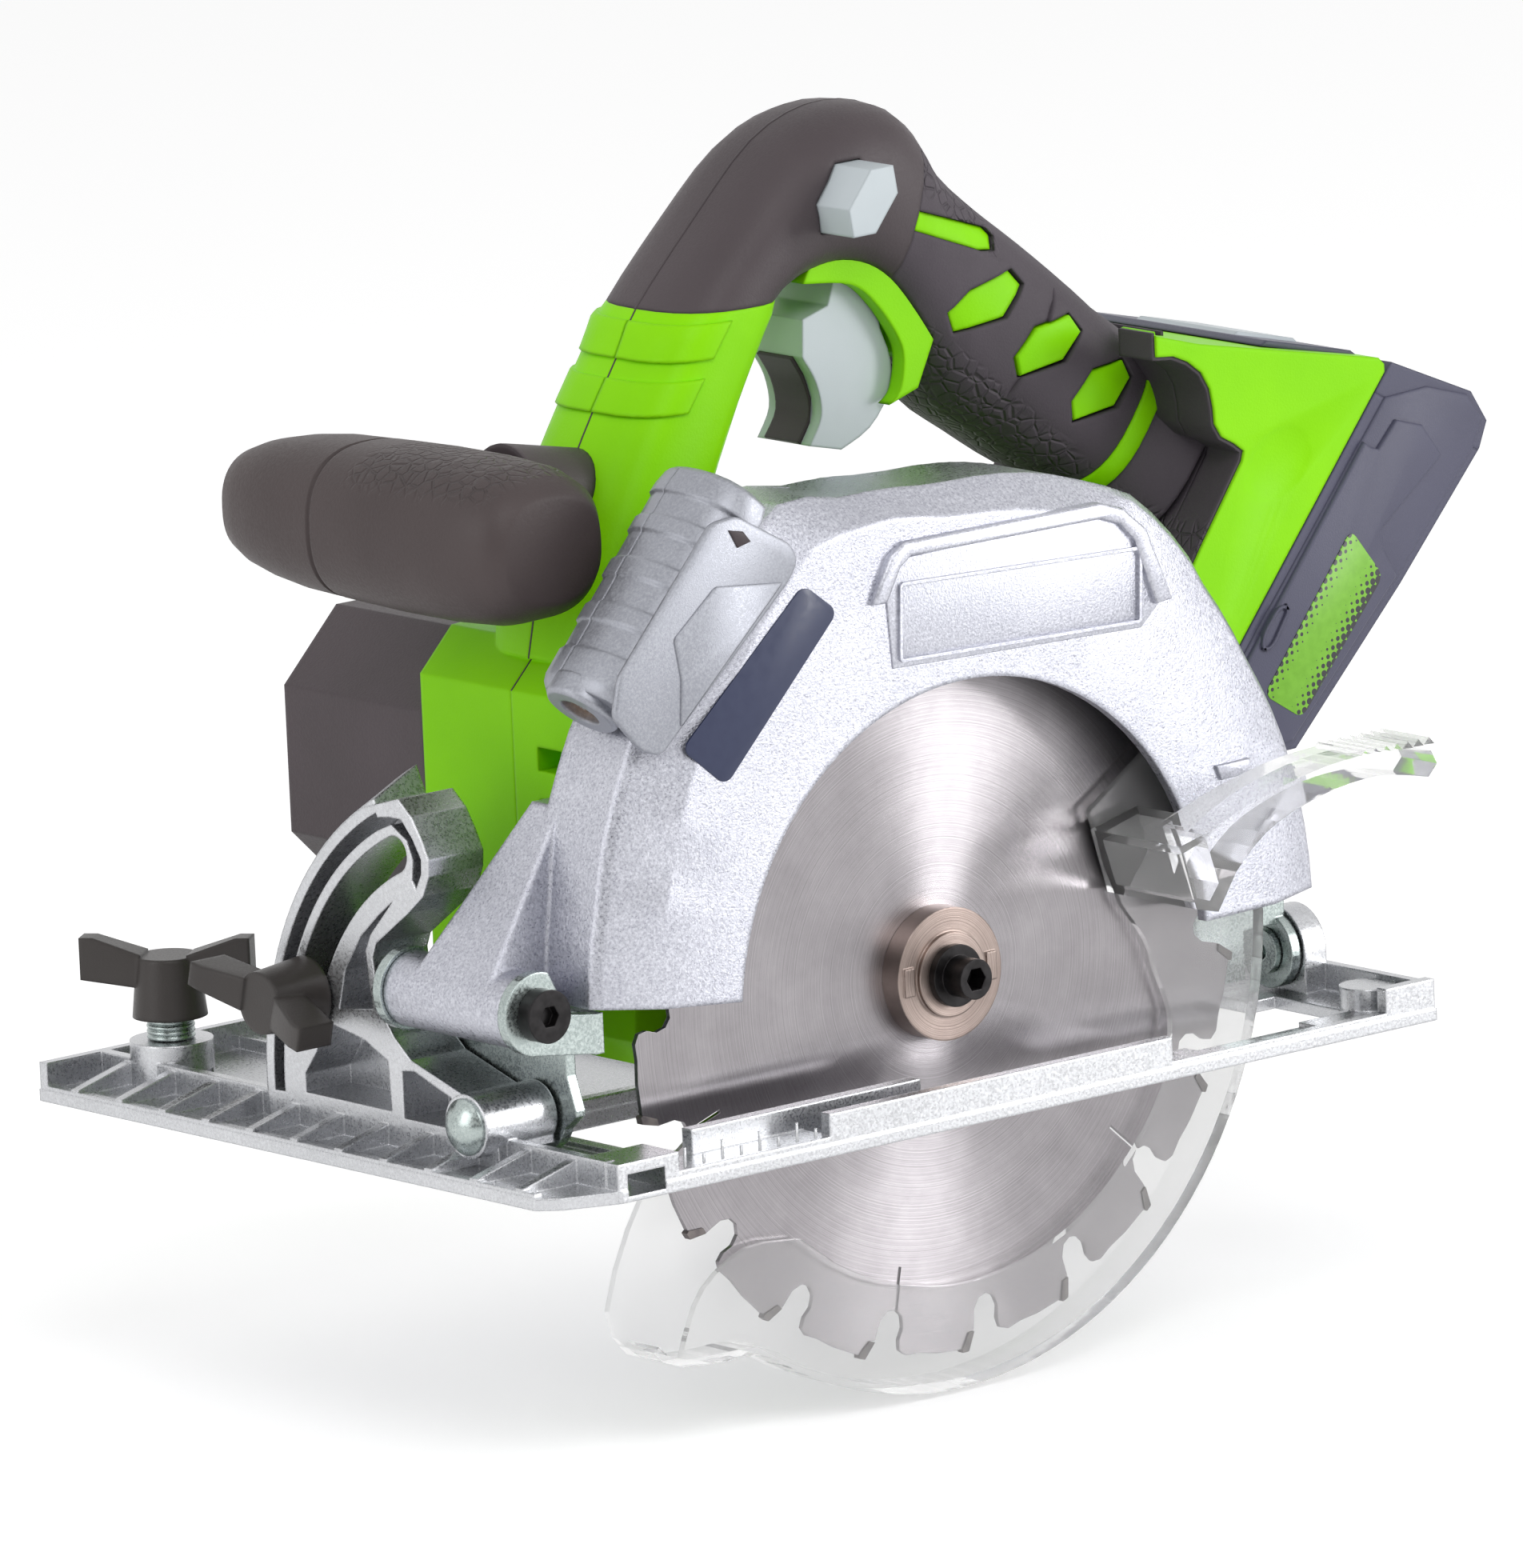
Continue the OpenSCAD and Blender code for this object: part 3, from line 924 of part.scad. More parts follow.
    // Channel for the rip fence's bar
    box([channel_x[0], -sole_near - 1, 1.2], [channel_x[1], sole_wide + 1, 5.8]);
    rod_z(3.05, 5, 14, fence_at);
    rod_x(3.2, barrel_x - 1, quad_x[1] + 1, bevel_pivot);
    rod_x(6.6, barrel_x - 5, barrel_x, bevel_pivot);
    rod_x(3.2, cast_ear_x[0] - 1, sole_rear + 1, bevel_pivot);
    rod_x(5.6, cast_ear_x[1], sole_rear + 1, bevel_pivot);
}
fence_at = [(channel_x[0] + channel_x[1]) / 2, sole_wide - 17];
module pivot_rivets() color(zinc) {
    rod_x(3.1, barrel_x - 0.2, plate_x + bracket_t + 1.4, bevel_pivot);
    translate([barrel_x, bevel_y, bevel_h]) rotate([0, -90, 0]) intersection() {
        translate([0, 0, -4.2]) sphere(r = 7.6);
        cylinder(r = 6, h = 6);
    }
    rod_x(5, plate_x + bracket_t + 0.3, plate_x + bracket_t + 1.8, bevel_pivot);
    difference() {
        union() {
            rod_x(3.1, rear_ear_x - 1.6, cast_ear_x[1] + 1, bevel_pivot);
            rod_x(5, rear_ear_x - 1.8, rear_ear_x - 0.3, bevel_pivot);
            rod_x(5, cast_ear_x[1], cast_ear_x[1] + 1.5, bevel_pivot);
        }
        rod_x(1.8, rear_ear_x - 3, sole_rear + 14, bevel_pivot);
    }
}
// --- knobs ---
module wings() {
    cylinder(r1 = 8, r2 = 6.6, h = 13);
    translate([0, 0, 6.5]) for (s = [0, 180]) rotate(s) hull() {
        translate([5, -3.6, 0]) cube([1, 7.2, 7]);
        translate([15.5, -2.6, 1.5]) cube([3, 5.2, 9]);
    }
}
module bevel_knob() color(dark) {
    rod_x(2.9, quad_x[0] - 8, plate_x + bracket_t + 3, clamp_at);
    translate([quad_x[0] - 0.5, clamp_at[0], clamp_at[1]]) rotate([-75, 0, 0]) rotate([0, -90, 0]) wings();
}
module fence_knob() color(dark) {
    rod_z(2.95, 6.2, 20, fence_at);
    translate([fence_at[0], fence_at[1], 17]) rotate([0, 0, -52]) wings();
}
module fence_spring() color(zinc) for (i = [0:3]) translate([fence_at[0], fence_at[1], 12.7 + i * 1.15])
    rotate_extrude() translate([4.6, 0]) circle(0.55, $fn = 16);

upper_guard();
guard_panel();
gear_case();
gear_cover();
housing_right();
housing_left();
grip_cap();
grip_rubber();
motor_end_cap();
motor_can();
motor_magnets();
brush_holders();
front_grip();
front_grip_neck();
laser_case_right();
laser_case_left();
laser_lens();
case_screws();
guard_screws();
case_bearings();
motor_bearings();
switch_unit();
dock_terminals();
guard_spring();
lock_stud();
saw_blade();
carbide_tips();
inner_flange();
outer_flange();
blade_bolt();
spindle();
spindle_gear();
countershaft();
counter_gear();
rotor_shaft();
armature();
commutator();
fan();
lower_guard();
guard_lever();
trigger();
trigger_pad();
lock_off_button();
battery_case();
battery_cover();
battery_cells();
battery_latch();
spindle_lock();
tilt_bracket();
rear_bracket();
depth_bolt();
depth_lever();
sole();
pivot_rivets();
bevel_knob();
fence_knob();
fence_spring();
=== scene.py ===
# Cordless circular saw: finishes, soft edges and small parts over the fixed CAD frame
import json
import math

import bmesh
import bpy
from mathutils import Matrix, Vector


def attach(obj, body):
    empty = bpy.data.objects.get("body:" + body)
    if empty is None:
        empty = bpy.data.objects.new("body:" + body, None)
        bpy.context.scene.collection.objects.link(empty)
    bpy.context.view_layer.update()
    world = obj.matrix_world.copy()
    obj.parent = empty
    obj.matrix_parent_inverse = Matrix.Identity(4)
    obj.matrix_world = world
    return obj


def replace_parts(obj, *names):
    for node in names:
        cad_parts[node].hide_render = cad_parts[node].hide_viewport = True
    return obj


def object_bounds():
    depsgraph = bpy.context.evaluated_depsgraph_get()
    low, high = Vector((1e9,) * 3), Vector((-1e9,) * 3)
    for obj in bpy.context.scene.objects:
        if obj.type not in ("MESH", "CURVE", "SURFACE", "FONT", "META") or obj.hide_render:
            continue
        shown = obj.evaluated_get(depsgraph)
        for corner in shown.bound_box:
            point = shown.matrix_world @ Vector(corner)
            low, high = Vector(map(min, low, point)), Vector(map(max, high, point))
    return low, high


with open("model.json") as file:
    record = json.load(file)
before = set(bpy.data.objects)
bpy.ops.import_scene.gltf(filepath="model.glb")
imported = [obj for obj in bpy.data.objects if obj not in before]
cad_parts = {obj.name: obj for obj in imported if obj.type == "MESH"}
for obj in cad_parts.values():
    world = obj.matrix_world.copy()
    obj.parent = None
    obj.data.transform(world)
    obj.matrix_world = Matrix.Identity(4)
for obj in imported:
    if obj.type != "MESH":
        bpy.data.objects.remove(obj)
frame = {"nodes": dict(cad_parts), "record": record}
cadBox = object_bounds()
nodes = frame["nodes"]
mm = 0.001
print("frame loaded", len(nodes), "nodes")

# Places shared by several pieces: the blade's axis and the battery's rail in metres,
# and the handle's middle plane in millimetres along Y
arbor = (0, 0, 0.0275)
gripY = 50
railTilt = math.radians(50)
railDir = Vector((math.cos(railTilt), 0, math.sin(railTilt)))
railOut = Vector((math.sin(railTilt), 0, -math.cos(railTilt)))
railFoot = Vector((0.1018, 0, 0.0819)) - 0.032 * railDir


def linear(hexCode):
    # sRGB hex to the linear colour that the nodes take
    channels = [int(hexCode[i:i + 2], 16) / 255 for i in (1, 3, 5)]
    return [c / 12.92 if c <= 0.04045 else ((c + 0.055) / 1.055) ** 2.4 for c in channels] + [1.0]


def addNode(tree, kind, inputs=None, stops=None, **settings):
    # stops are the places and colours of a colour ramp
    node = tree.nodes.new(kind)
    for name, value in settings.items():
        setattr(node, name, value)
    for socket, value in (inputs or {}).items():
        if isinstance(value, bpy.types.NodeSocket):
            tree.links.new(value, node.inputs[socket])
        else:
            node.inputs[socket].default_value = value
    if stops:
        elements = node.color_ramp.elements
        while len(elements) < len(stops):
            elements.new(0.5)
        for element, (position, colour) in zip(elements, stops):
            element.position = position
            element.color = colour
    return node


def startMaterial(name):
    material = bpy.data.materials.new(name)
    material.use_nodes = True
    material.node_tree.nodes.clear()
    return material, material.node_tree


def place(tree, about=(0, 0, 0)):
    # Object coordinates in millimetres, moved so that about, in metres, lies at zero
    coords = addNode(tree, "ShaderNodeTexCoord")
    moved = addNode(tree, "ShaderNodeMapping", {"Vector": coords.outputs["Object"],
                    "Location": [-v / mm for v in about], "Scale": (1 / mm,) * 3})
    return moved.outputs["Vector"]


def grey(value):
    return (value, value, value, 1)


def finishShader(tree, inputs):
    shader = addNode(tree, "ShaderNodeBsdfPrincipled", inputs)
    addNode(tree, "ShaderNodeOutputMaterial", {"Surface": shader.outputs["BSDF"]})


def grained(tree, look):
    # Grain of a moulded or cast surface: bump over a softened edge
    vector = place(tree)
    grain = addNode(tree, "ShaderNodeTexNoise", {"Vector": vector, "Scale": 1 / look["grain"], "Detail": 3,
                    "Roughness": 0.6})
    edge = addNode(tree, "ShaderNodeBevel", {"Radius": look["edge"] * mm}, samples=6)
    bump = addNode(tree, "ShaderNodeBump", {"Strength": look["depth"], "Distance": 0.0002,
                   "Height": grain.outputs["Fac"], "Normal": edge.outputs["Normal"]})
    return vector, grain, bump


def patchMask(tree, patch):
    # 1 inside a textured patch, 0 outside; each limit is a direction and the two places where it fades in, in mm
    vector = place(tree)
    inside = None
    for direction, start, end in patch:
        reach = addNode(tree, "ShaderNodeVectorMath", {0: vector, 1: direction}, operation="DOT_PRODUCT")
        limit = addNode(tree, "ShaderNodeMapRange", {"Value": reach.outputs["Value"], "From Min": start,
                        "From Max": end}, interpolation_type="SMOOTHSTEP")
        if inside:
            limit = addNode(tree, "ShaderNodeMath", {0: inside.outputs[0], 1: limit.outputs[0]}, operation="MULTIPLY")
        inside = limit
    return inside


def mouldedPlastic(name, look):
    # ABS, nylon or soft rubber from a spark-eroded mould: even colour, fine matt grain, paler where it is handled
    material, tree = startMaterial(name)
    vector, grain, bump = grained(tree, look)
    for patch in look.get("scales", []):
        # Grip patches of scales, 3 mm across
        cells = addNode(tree, "ShaderNodeTexVoronoi", {"Vector": vector, "Scale": 1 / 3.0},
                        feature="DISTANCE_TO_EDGE")
        groove = addNode(tree, "ShaderNodeMapRange", {"Value": cells.outputs["Distance"], "From Max": 0.16},
                         interpolation_type="SMOOTHSTEP")
        bump = addNode(tree, "ShaderNodeBump", {"Strength": patchMask(tree, patch).outputs[0], "Distance": 0.0004,
                       "Height": groove.outputs["Result"], "Normal": bump.outputs["Normal"]})
    cloud = addNode(tree, "ShaderNodeTexNoise", {"Vector": vector, "Scale": 0.03, "Detail": 4})
    colour = addNode(tree, "ShaderNodeValToRGB", {"Fac": cloud.outputs["Fac"]},
                     stops=[(0.3, linear(look["colour"])), (0.7, linear(look["worn"]))])
    gloss = addNode(tree, "ShaderNodeValToRGB", {"Fac": grain.outputs["Fac"]},
                    stops=[(0.3, grey(look["rough"] - 0.06)), (0.7, grey(look["rough"] + 0.06))])
    finishShader(tree, {"Base Color": colour.outputs["Color"], "Roughness": gloss.outputs["Color"],
                 "Normal": bump.outputs["Normal"], "IOR": 1.5, "Specular IOR Level": look.get("shine", 0.3)})
    return material


def castMetal(name, look):
    # Die-cast aluminium, blasted and lacquered, or plated sheet: sparkling grain of about a third of a millimetre,
    # drawn at 0.6 mm so that it shows
    material, tree = startMaterial(name)
    vector, grain, bump = grained(tree, look)
    cloud = addNode(tree, "ShaderNodeTexNoise", {"Vector": vector, "Scale": 0.02, "Detail": 5, "Roughness": 0.65})
    speck = addNode(tree, "ShaderNodeTexNoise", {"Vector": vector, "Scale": 1.6, "Detail": 2, "Roughness": 0.7})
    blend = addNode(tree, "ShaderNodeMix", {"Factor": 0.7, "A": cloud.outputs["Fac"], "B": speck.outputs["Fac"]},
                    data_type="FLOAT")
    colour = addNode(tree, "ShaderNodeValToRGB", {"Fac": blend.outputs["Result"]},
                     stops=[(0.36, linear(look["dark"])), (0.5, linear(look["colour"])),
                            (0.64, linear(look["light"]))])
    gloss = addNode(tree, "ShaderNodeValToRGB", {"Fac": speck.outputs["Fac"]},
                    stops=[(0.35, grey(look["rough"] - 0.08)), (0.65, grey(look["rough"] + 0.1))])
    finishShader(tree, {"Base Color": colour.outputs["Color"], "Metallic": look["metal"],
                 "Roughness": gloss.outputs["Color"], "Normal": bump.outputs["Normal"]})
    return material


def turnedSteel(name, look):
    # Steel finished on a lathe: fine rings round the axis through about, running along Y, stretch the highlight
    material, tree = startMaterial(name)
    vector = place(tree, look["about"])
    parts = addNode(tree, "ShaderNodeSeparateXYZ", {"Vector": vector})
    flat = addNode(tree, "ShaderNodeCombineXYZ", {"X": parts.outputs["X"], "Z": parts.outputs["Z"]})
    radius = addNode(tree, "ShaderNodeVectorMath", {0: flat.outputs["Vector"]}, operation="LENGTH")
    rings = addNode(tree, "ShaderNodeTexNoise", {"W": radius.outputs["Value"], "Scale": look["rings"], "Detail": 4,
                    "Roughness": 0.7}, noise_dimensions="1D")
    patches = addNode(tree, "ShaderNodeTexNoise", {"Vector": vector, "Scale": 0.06, "Detail": 5, "Roughness": 0.7})
    blend = addNode(tree, "ShaderNodeMix", {"Factor": 0.4, "A": rings.outputs["Fac"], "B": patches.outputs["Fac"]},
                    data_type="FLOAT")
    colour = addNode(tree, "ShaderNodeValToRGB", {"Fac": blend.outputs["Result"]},
                     stops=[(0.35, linear(look["dark"])), (0.65, linear(look["light"]))])
    tangent = addNode(tree, "ShaderNodeVectorMath", {0: flat.outputs["Vector"]}, operation="NORMALIZE")
    edge = addNode(tree, "ShaderNodeBevel", {"Radius": look["edge"] * mm}, samples=6)
    bump = addNode(tree, "ShaderNodeBump", {"Strength": look["depth"], "Distance": 0.0001,
                   "Height": rings.outputs["Fac"], "Normal": edge.outputs["Normal"]})
    finishShader(tree, {"Base Color": colour.outputs["Color"], "Metallic": 1.0, "Roughness": look["rough"],
                 "Anisotropic": look["stretch"], "Tangent": tangent.outputs["Vector"],
                 "Normal": bump.outputs["Normal"]})
    return material


def clearPlastic(name, look):
    # Injection-moulded polycarbonate: clear, faintly grey, with soft flow marks
    material, tree = startMaterial(name)
    flow = addNode(tree, "ShaderNodeTexNoise", {"Vector": place(tree), "Scale": 0.05, "Detail": 3, "Roughness": 0.5})
    bump = addNode(tree, "ShaderNodeBump", {"Strength": 0.15, "Distance": 0.001, "Height": flow.outputs["Fac"]})
    gloss = addNode(tree, "ShaderNodeValToRGB", {"Fac": flow.outputs["Fac"]},
                    stops=[(0.3, grey(0.03)), (0.7, grey(look["rough"]))])
    finishShader(tree, {"Base Color": linear(look["colour"]), "Roughness": gloss.outputs["Color"],
                 "IOR": look["ior"], "Transmission Weight": look["clear"], "Normal": bump.outputs["Normal"]})
    return material


def plainGlossy(name, look):
    # Small parts with an even surface: machined metal, sintered or lacquered parts, label film
    material, tree = startMaterial(name)
    wear = addNode(tree, "ShaderNodeTexNoise", {"Vector": place(tree), "Scale": 0.4, "Detail": 4})
    colour = addNode(tree, "ShaderNodeValToRGB", {"Fac": wear.outputs["Fac"]},
                     stops=[(0.35, linear(look["colour"])), (0.65, linear(look["worn"]))])
    gloss = addNode(tree, "ShaderNodeValToRGB", {"Fac": wear.outputs["Fac"]},
                    stops=[(0.35, grey(look["rough"])), (0.65, grey(look["rough"] + 0.12))])
    edge = addNode(tree, "ShaderNodeBevel", {"Radius": look.get("edge", 0.4) * mm}, samples=6)
    finishShader(tree, {"Base Color": colour.outputs["Color"], "Metallic": look["metal"],
                 "Roughness": gloss.outputs["Color"], "Normal": edge.outputs["Normal"]})
    return material


def dottedFilm(name, look):
    # Printed film on the battery's side: black half-tone dots that grow from the middle to the long edges
    material, tree = startMaterial(name)
    coords = addNode(tree, "ShaderNodeTexCoord")
    shifted = addNode(tree, "ShaderNodeVectorMath", {0: coords.outputs["Object"], 1: look["foot"]},
                      operation="SUBTRACT")
    cells = []
    for direction in (look["along"], look["across"]):
        reach = addNode(tree, "ShaderNodeVectorMath", {0: shifted.outputs["Vector"], 1: direction},
                        operation="DOT_PRODUCT")
        cells.append(addNode(tree, "ShaderNodeMath", {0: reach.outputs["Value"], 1: 1 / mm}, operation="MULTIPLY"))
    # The dots stand on a grid turned by 45 degrees; each one's place in its cell runs from -0.5 to 0.5
    squares = []
    for how in ("ADD", "SUBTRACT"):
        turned = addNode(tree, "ShaderNodeMath", {0: cells[0].outputs["Value"], 1: cells[1].outputs["Value"]},
                         operation=how)
        scaled = addNode(tree, "ShaderNodeMath", {0: turned.outputs["Value"], 1: 1 / look["pitch"]},
                         operation="MULTIPLY")
        part = addNode(tree, "ShaderNodeMath", {0: scaled.outputs["Value"]}, operation="FRACT")
        centred = addNode(tree, "ShaderNodeMath", {0: part.outputs["Value"], 1: 0.5}, operation="SUBTRACT")
        squares.append(addNode(tree, "ShaderNodeMath", {0: centred.outputs["Value"], 1: 2.0}, operation="POWER"))
    total = addNode(tree, "ShaderNodeMath", {0: squares[0].outputs["Value"], 1: squares[1].outputs["Value"]},
                    operation="ADD")
    radius = addNode(tree, "ShaderNodeMath", {0: total.outputs["Value"]}, operation="SQRT")
    middle = addNode(tree, "ShaderNodeMath", {0: cells[1].outputs["Value"], 1: look["middle"]}, operation="SUBTRACT")
    away = addNode(tree, "ShaderNodeMath", {0: middle.outputs["Value"]}, operation="ABSOLUTE")
    size = addNode(tree, "ShaderNodeMapRange", {"Value": away.outputs["Value"], "From Min": look["clear"],
                   "From Max": look["full"], "To Min": 0.0, "To Max": look["largest"]})
    dot = addNode(tree, "ShaderNodeMath", {0: radius.outputs["Value"], 1: size.outputs["Result"]},
                  operation="LESS_THAN")
    wear = addNode(tree, "ShaderNodeTexNoise", {"Vector": place(tree), "Scale": 0.5, "Detail": 3})
    green = addNode(tree, "ShaderNodeValToRGB", {"Fac": wear.outputs["Fac"]},
                    stops=[(0.35, linear(look["colour"])), (0.65, linear(look["worn"]))])
    # 6 and 7 are the colour inputs of Mix, and 2 its colour output
    colour = addNode(tree, "ShaderNodeMix", {0: dot.outputs["Value"], 6: green.outputs["Color"],
                     7: linear(look["dark"])}, data_type="RGBA")
    finishShader(tree, {"Base Color": colour.outputs[2], "Roughness": look["rough"]})
    return material


# Cast and plated metals; grain and edge are in millimetres
guardCast = castMetal("blastedGuardAluminium", {
    "colour": "#b9bac3", "dark": "#a5a6b0", "light": "#cfd0d8", "rough": 0.34, "metal": 0.95, "grain": 0.5,
    "depth": 0.6, "edge": 1.6})
guardTrim = castMetal("blastedGuardTrim", {
    "colour": "#b9bac3", "dark": "#a5a6b0", "light": "#cfd0d8", "rough": 0.38, "metal": 0.95, "grain": 0.5,
    "depth": 0.5, "edge": 0.3})
soleCast = castMetal("dieCastSoleAluminium", {
    "colour": "#c6c7ca", "dark": "#bbbcbf", "light": "#d3d4d7", "rough": 0.3, "metal": 0.95, "grain": 0.7,
    "depth": 0.22, "edge": 0.7})
laserShell = castMetal("silverPaintedShell", {
    "colour": "#9c9ea6", "dark": "#92949c", "light": "#a9abb2", "rough": 0.4, "metal": 0.6, "grain": 0.3,
    "depth": 0.2, "edge": 1.0})
zincSteel = castMetal("zincPlatedSteel", {
    "colour": "#a9b3b1", "dark": "#9ba5a3", "light": "#b9c2bf", "rough": 0.27, "metal": 0.95, "grain": 2.0,
    "depth": 0.1, "edge": 0.5})
# Mouldings
greenShell = mouldedPlastic("greenAbsHousing", {
    "colour": "#84d600", "worn": "#8ee000", "rough": 0.42, "grain": 0.5, "depth": 0.25, "edge": 1.2,
    "shine": 0.14})
darkCap = mouldedPlastic("darkNylonCap", {
    "colour": "#453d40", "worn": "#4d4548", "rough": 0.5, "grain": 0.6, "depth": 0.3, "edge": 1.5})
softRubber = mouldedPlastic("softGripRubber", {
    "colour": "#474147", "worn": "#4f484f", "rough": 0.62, "grain": 0.5, "depth": 0.35, "edge": 1.2,
    "scales": [[((-0.654, 0, -0.756), -142.5, -139.5), ((1, 0, 0), 30, 34)],
               [((0.654, 0, 0.756), 160.5, 163.5), ((-1, 0, 0), -58, -54)]]})
bulbRubber = mouldedPlastic("frontHandleRubber", {
    "colour": "#413838", "worn": "#494040", "rough": 0.5, "grain": 0.7, "depth": 0.35, "edge": 0.8,
    "scales": [[((0, 0, 1), 137, 141), ((0, 1, 0), 18, 22), ((0, -1, 0), -66, -62)]]})
motorShell = mouldedPlastic("darkMotorShell", {
    "colour": "#4a4245", "worn": "#52494d", "rough": 0.5, "grain": 0.6, "depth": 0.4, "edge": 1.6})
batteryShell = mouldedPlastic("slateBatteryShell", {
    "colour": "#4b4b5d", "worn": "#535366", "rough": 0.42, "grain": 0.4, "depth": 0.25, "edge": 1.0})
knobShell = mouldedPlastic("blackKnobNylon", {
    "colour": "#363231", "worn": "#403c3a", "rough": 0.35, "grain": 0.5, "depth": 0.2, "edge": 1.2})
paleKey = mouldedPlastic("paleGreyKey", {
    "colour": "#b9c2c6", "worn": "#c4ccd0", "rough": 0.38, "grain": 0.3, "depth": 0.12, "edge": 0.9})
darkInsert = mouldedPlastic("darkTriggerInsert", {
    "colour": "#3a3235", "worn": "#433a3d", "rough": 0.45, "grain": 0.3, "depth": 0.1, "edge": 0.6})
clearGuard = clearPlastic("clearPolycarbonate", {"colour": "#f8f8f8", "rough": 0.08, "ior": 1.2, "clear": 0.9})
# Turned steel; rings are per millimetre
bladeSteel = turnedSteel("groundBladeSteel", {
    "about": arbor, "dark": "#8d898c", "light": "#aaa6a9", "rings": 3.2, "depth": 0.1, "rough": 0.27,
    "stretch": 0.93, "edge": 0.15})
flangeSteel = turnedSteel("burnishedFlangeSteel", {
    "about": arbor, "dark": "#857771", "light": "#ab9c95", "rings": 3.0, "depth": 0.3, "rough": 0.33,
    "stretch": 0.5, "edge": 0.5})
# Small parts and films
blackOxide = plainGlossy("blackOxideSteel", {"colour": "#1c1a1b", "worn": "#2a2829", "rough": 0.28, "metal": 0.7})
brightSteel = plainGlossy("groundSteel", {"colour": "#9b9b9e", "worn": "#b5b5b8", "rough": 0.28, "metal": 1.0})
carbide = plainGlossy("sinteredCarbide", {"colour": "#5b5657", "worn": "#77716f", "rough": 0.4, "metal": 0.8,
                                          "edge": 0.1})
brass = plainGlossy("turnedBrass", {"colour": "#b07a35", "worn": "#cf9a4c", "rough": 0.3, "metal": 1.0})
copper = plainGlossy("lacqueredCopper", {"colour": "#8a4a28", "worn": "#a8623a", "rough": 0.35, "metal": 0.8})
ferrite = plainGlossy("ferriteMagnet", {"colour": "#38383c", "worn": "#46464a", "rough": 0.6, "metal": 0.2})
cellWrap = plainGlossy("blueCellWrap", {"colour": "#2f5fa8", "worn": "#3a6cb6", "rough": 0.35, "metal": 0.0})
navyFilm = plainGlossy("navyLabelFilm", {"colour": "#242c4c", "worn": "#28304f", "rough": 0.3, "metal": 0.0,
                                         "edge": 0.2})
# Lengths of the dotted film are in millimetres across the rail's foot line; largest is a share of a cell
dottedLabel = dottedFilm("dottedGreenFilm", {
    "foot": tuple(railFoot), "along": tuple(railDir), "across": tuple(railOut), "pitch": 2.3, "middle": 17.0,
    "clear": 2.0, "full": 8.5, "largest": 0.72, "rough": 0.38, "colour": "#6fae1e", "worn": "#78b829",
    "dark": "#2b2a2e"})
print("materials made")

# What each solid is made of
nodeFinish = {
    "upper_guard": guardCast, "guard_panel": guardCast, "gear_case": soleCast, "gear_cover": soleCast,
    "housing_right": greenShell, "housing_left": greenShell, "grip_cap": darkCap, "grip_rubber": softRubber,
    "motor_end_cap": motorShell, "motor_can": brightSteel, "motor_magnets": ferrite, "brush_holders": brass,
    "front_grip": darkCap, "front_grip_neck": darkCap, "laser_case_right": laserShell, "laser_case_left": laserShell,
    "laser_lens": brass, "case_screws": brightSteel, "guard_screws": brightSteel, "case_bearings": brightSteel,
    "motor_bearings": brightSteel, "switch_unit": knobShell, "dock_terminals": brass, "guard_spring": brightSteel,
    "lock_stud": brightSteel, "saw_blade": bladeSteel, "carbide_tips": carbide, "inner_flange": flangeSteel,
    "outer_flange": flangeSteel, "blade_bolt": blackOxide, "spindle": brightSteel, "spindle_gear": brightSteel,
    "countershaft": brightSteel, "counter_gear": brightSteel, "rotor_shaft": brightSteel, "armature": copper,
    "commutator": copper, "fan": knobShell, "lower_guard": clearGuard, "guard_lever": clearGuard,
    "trigger": paleKey, "trigger_pad": darkInsert, "lock_off_button": paleKey, "battery_case": batteryShell,
    "battery_cover": batteryShell, "battery_cells": cellWrap, "battery_latch": paleKey, "spindle_lock": knobShell,
    "tilt_bracket": zincSteel, "rear_bracket": zincSteel, "depth_bolt": blackOxide, "depth_lever": knobShell,
    "sole": soleCast, "pivot_rivets": zincSteel, "bevel_knob": knobShell, "fence_knob": knobShell,
    "fence_spring": zincSteel}
for name, material in nodeFinish.items():
    node = nodes[name]
    node.data.materials.clear()
    node.data.materials.append(material)


# Tools for the added pieces; outlines are in millimetres, in X and Z
def tidyMesh(bm, smooth):
    # Faces outwards, and shaded as one surface where they meet at less than smooth degrees
    bmesh.ops.recalc_face_normals(bm, faces=bm.faces)
    for edge in bm.edges:
        edge.smooth = len(edge.link_faces) == 2 and edge.calc_face_angle(0) < math.radians(smooth)
    for face in bm.faces:
        face.smooth = True


def outlineFace(outline, y, rounding, segments):
    # One flat face from an outline, its corners rounded off
    bm = bmesh.new()
    corners = [bm.verts.new((x * mm, y * mm, z * mm)) for x, z in outline]
    bm.faces.new(corners)
    if rounding:
        bmesh.ops.bevel(bm, geom=corners, offset=rounding * mm, segments=segments, profile=0.5, affect="VERTICES",
                        material=-1)
    return bm


def outlinePlate(outline, yIn, yOut, soften=0.25, rounding=0.0):
    # An outline drawn out along Y, with its outer rim softened
    bm = outlineFace(outline, yIn, rounding, 5)
    grown = bmesh.ops.extrude_face_region(bm, geom=bm.faces[:])
    front = {v for v in grown["geom"] if isinstance(v, bmesh.types.BMVert)}
    bmesh.ops.translate(bm, verts=list(front), vec=(0, (yOut - yIn) * mm, 0))
    if soften:
        rim = [e for e in bm.edges if e.verts[0] in front and e.verts[1] in front]
        bmesh.ops.bevel(bm, geom=rim, offset=soften * mm, segments=2, profile=0.5, affect="EDGES", material=-1)
    bmesh.ops.recalc_face_normals(bm, faces=bm.faces)
    return bm


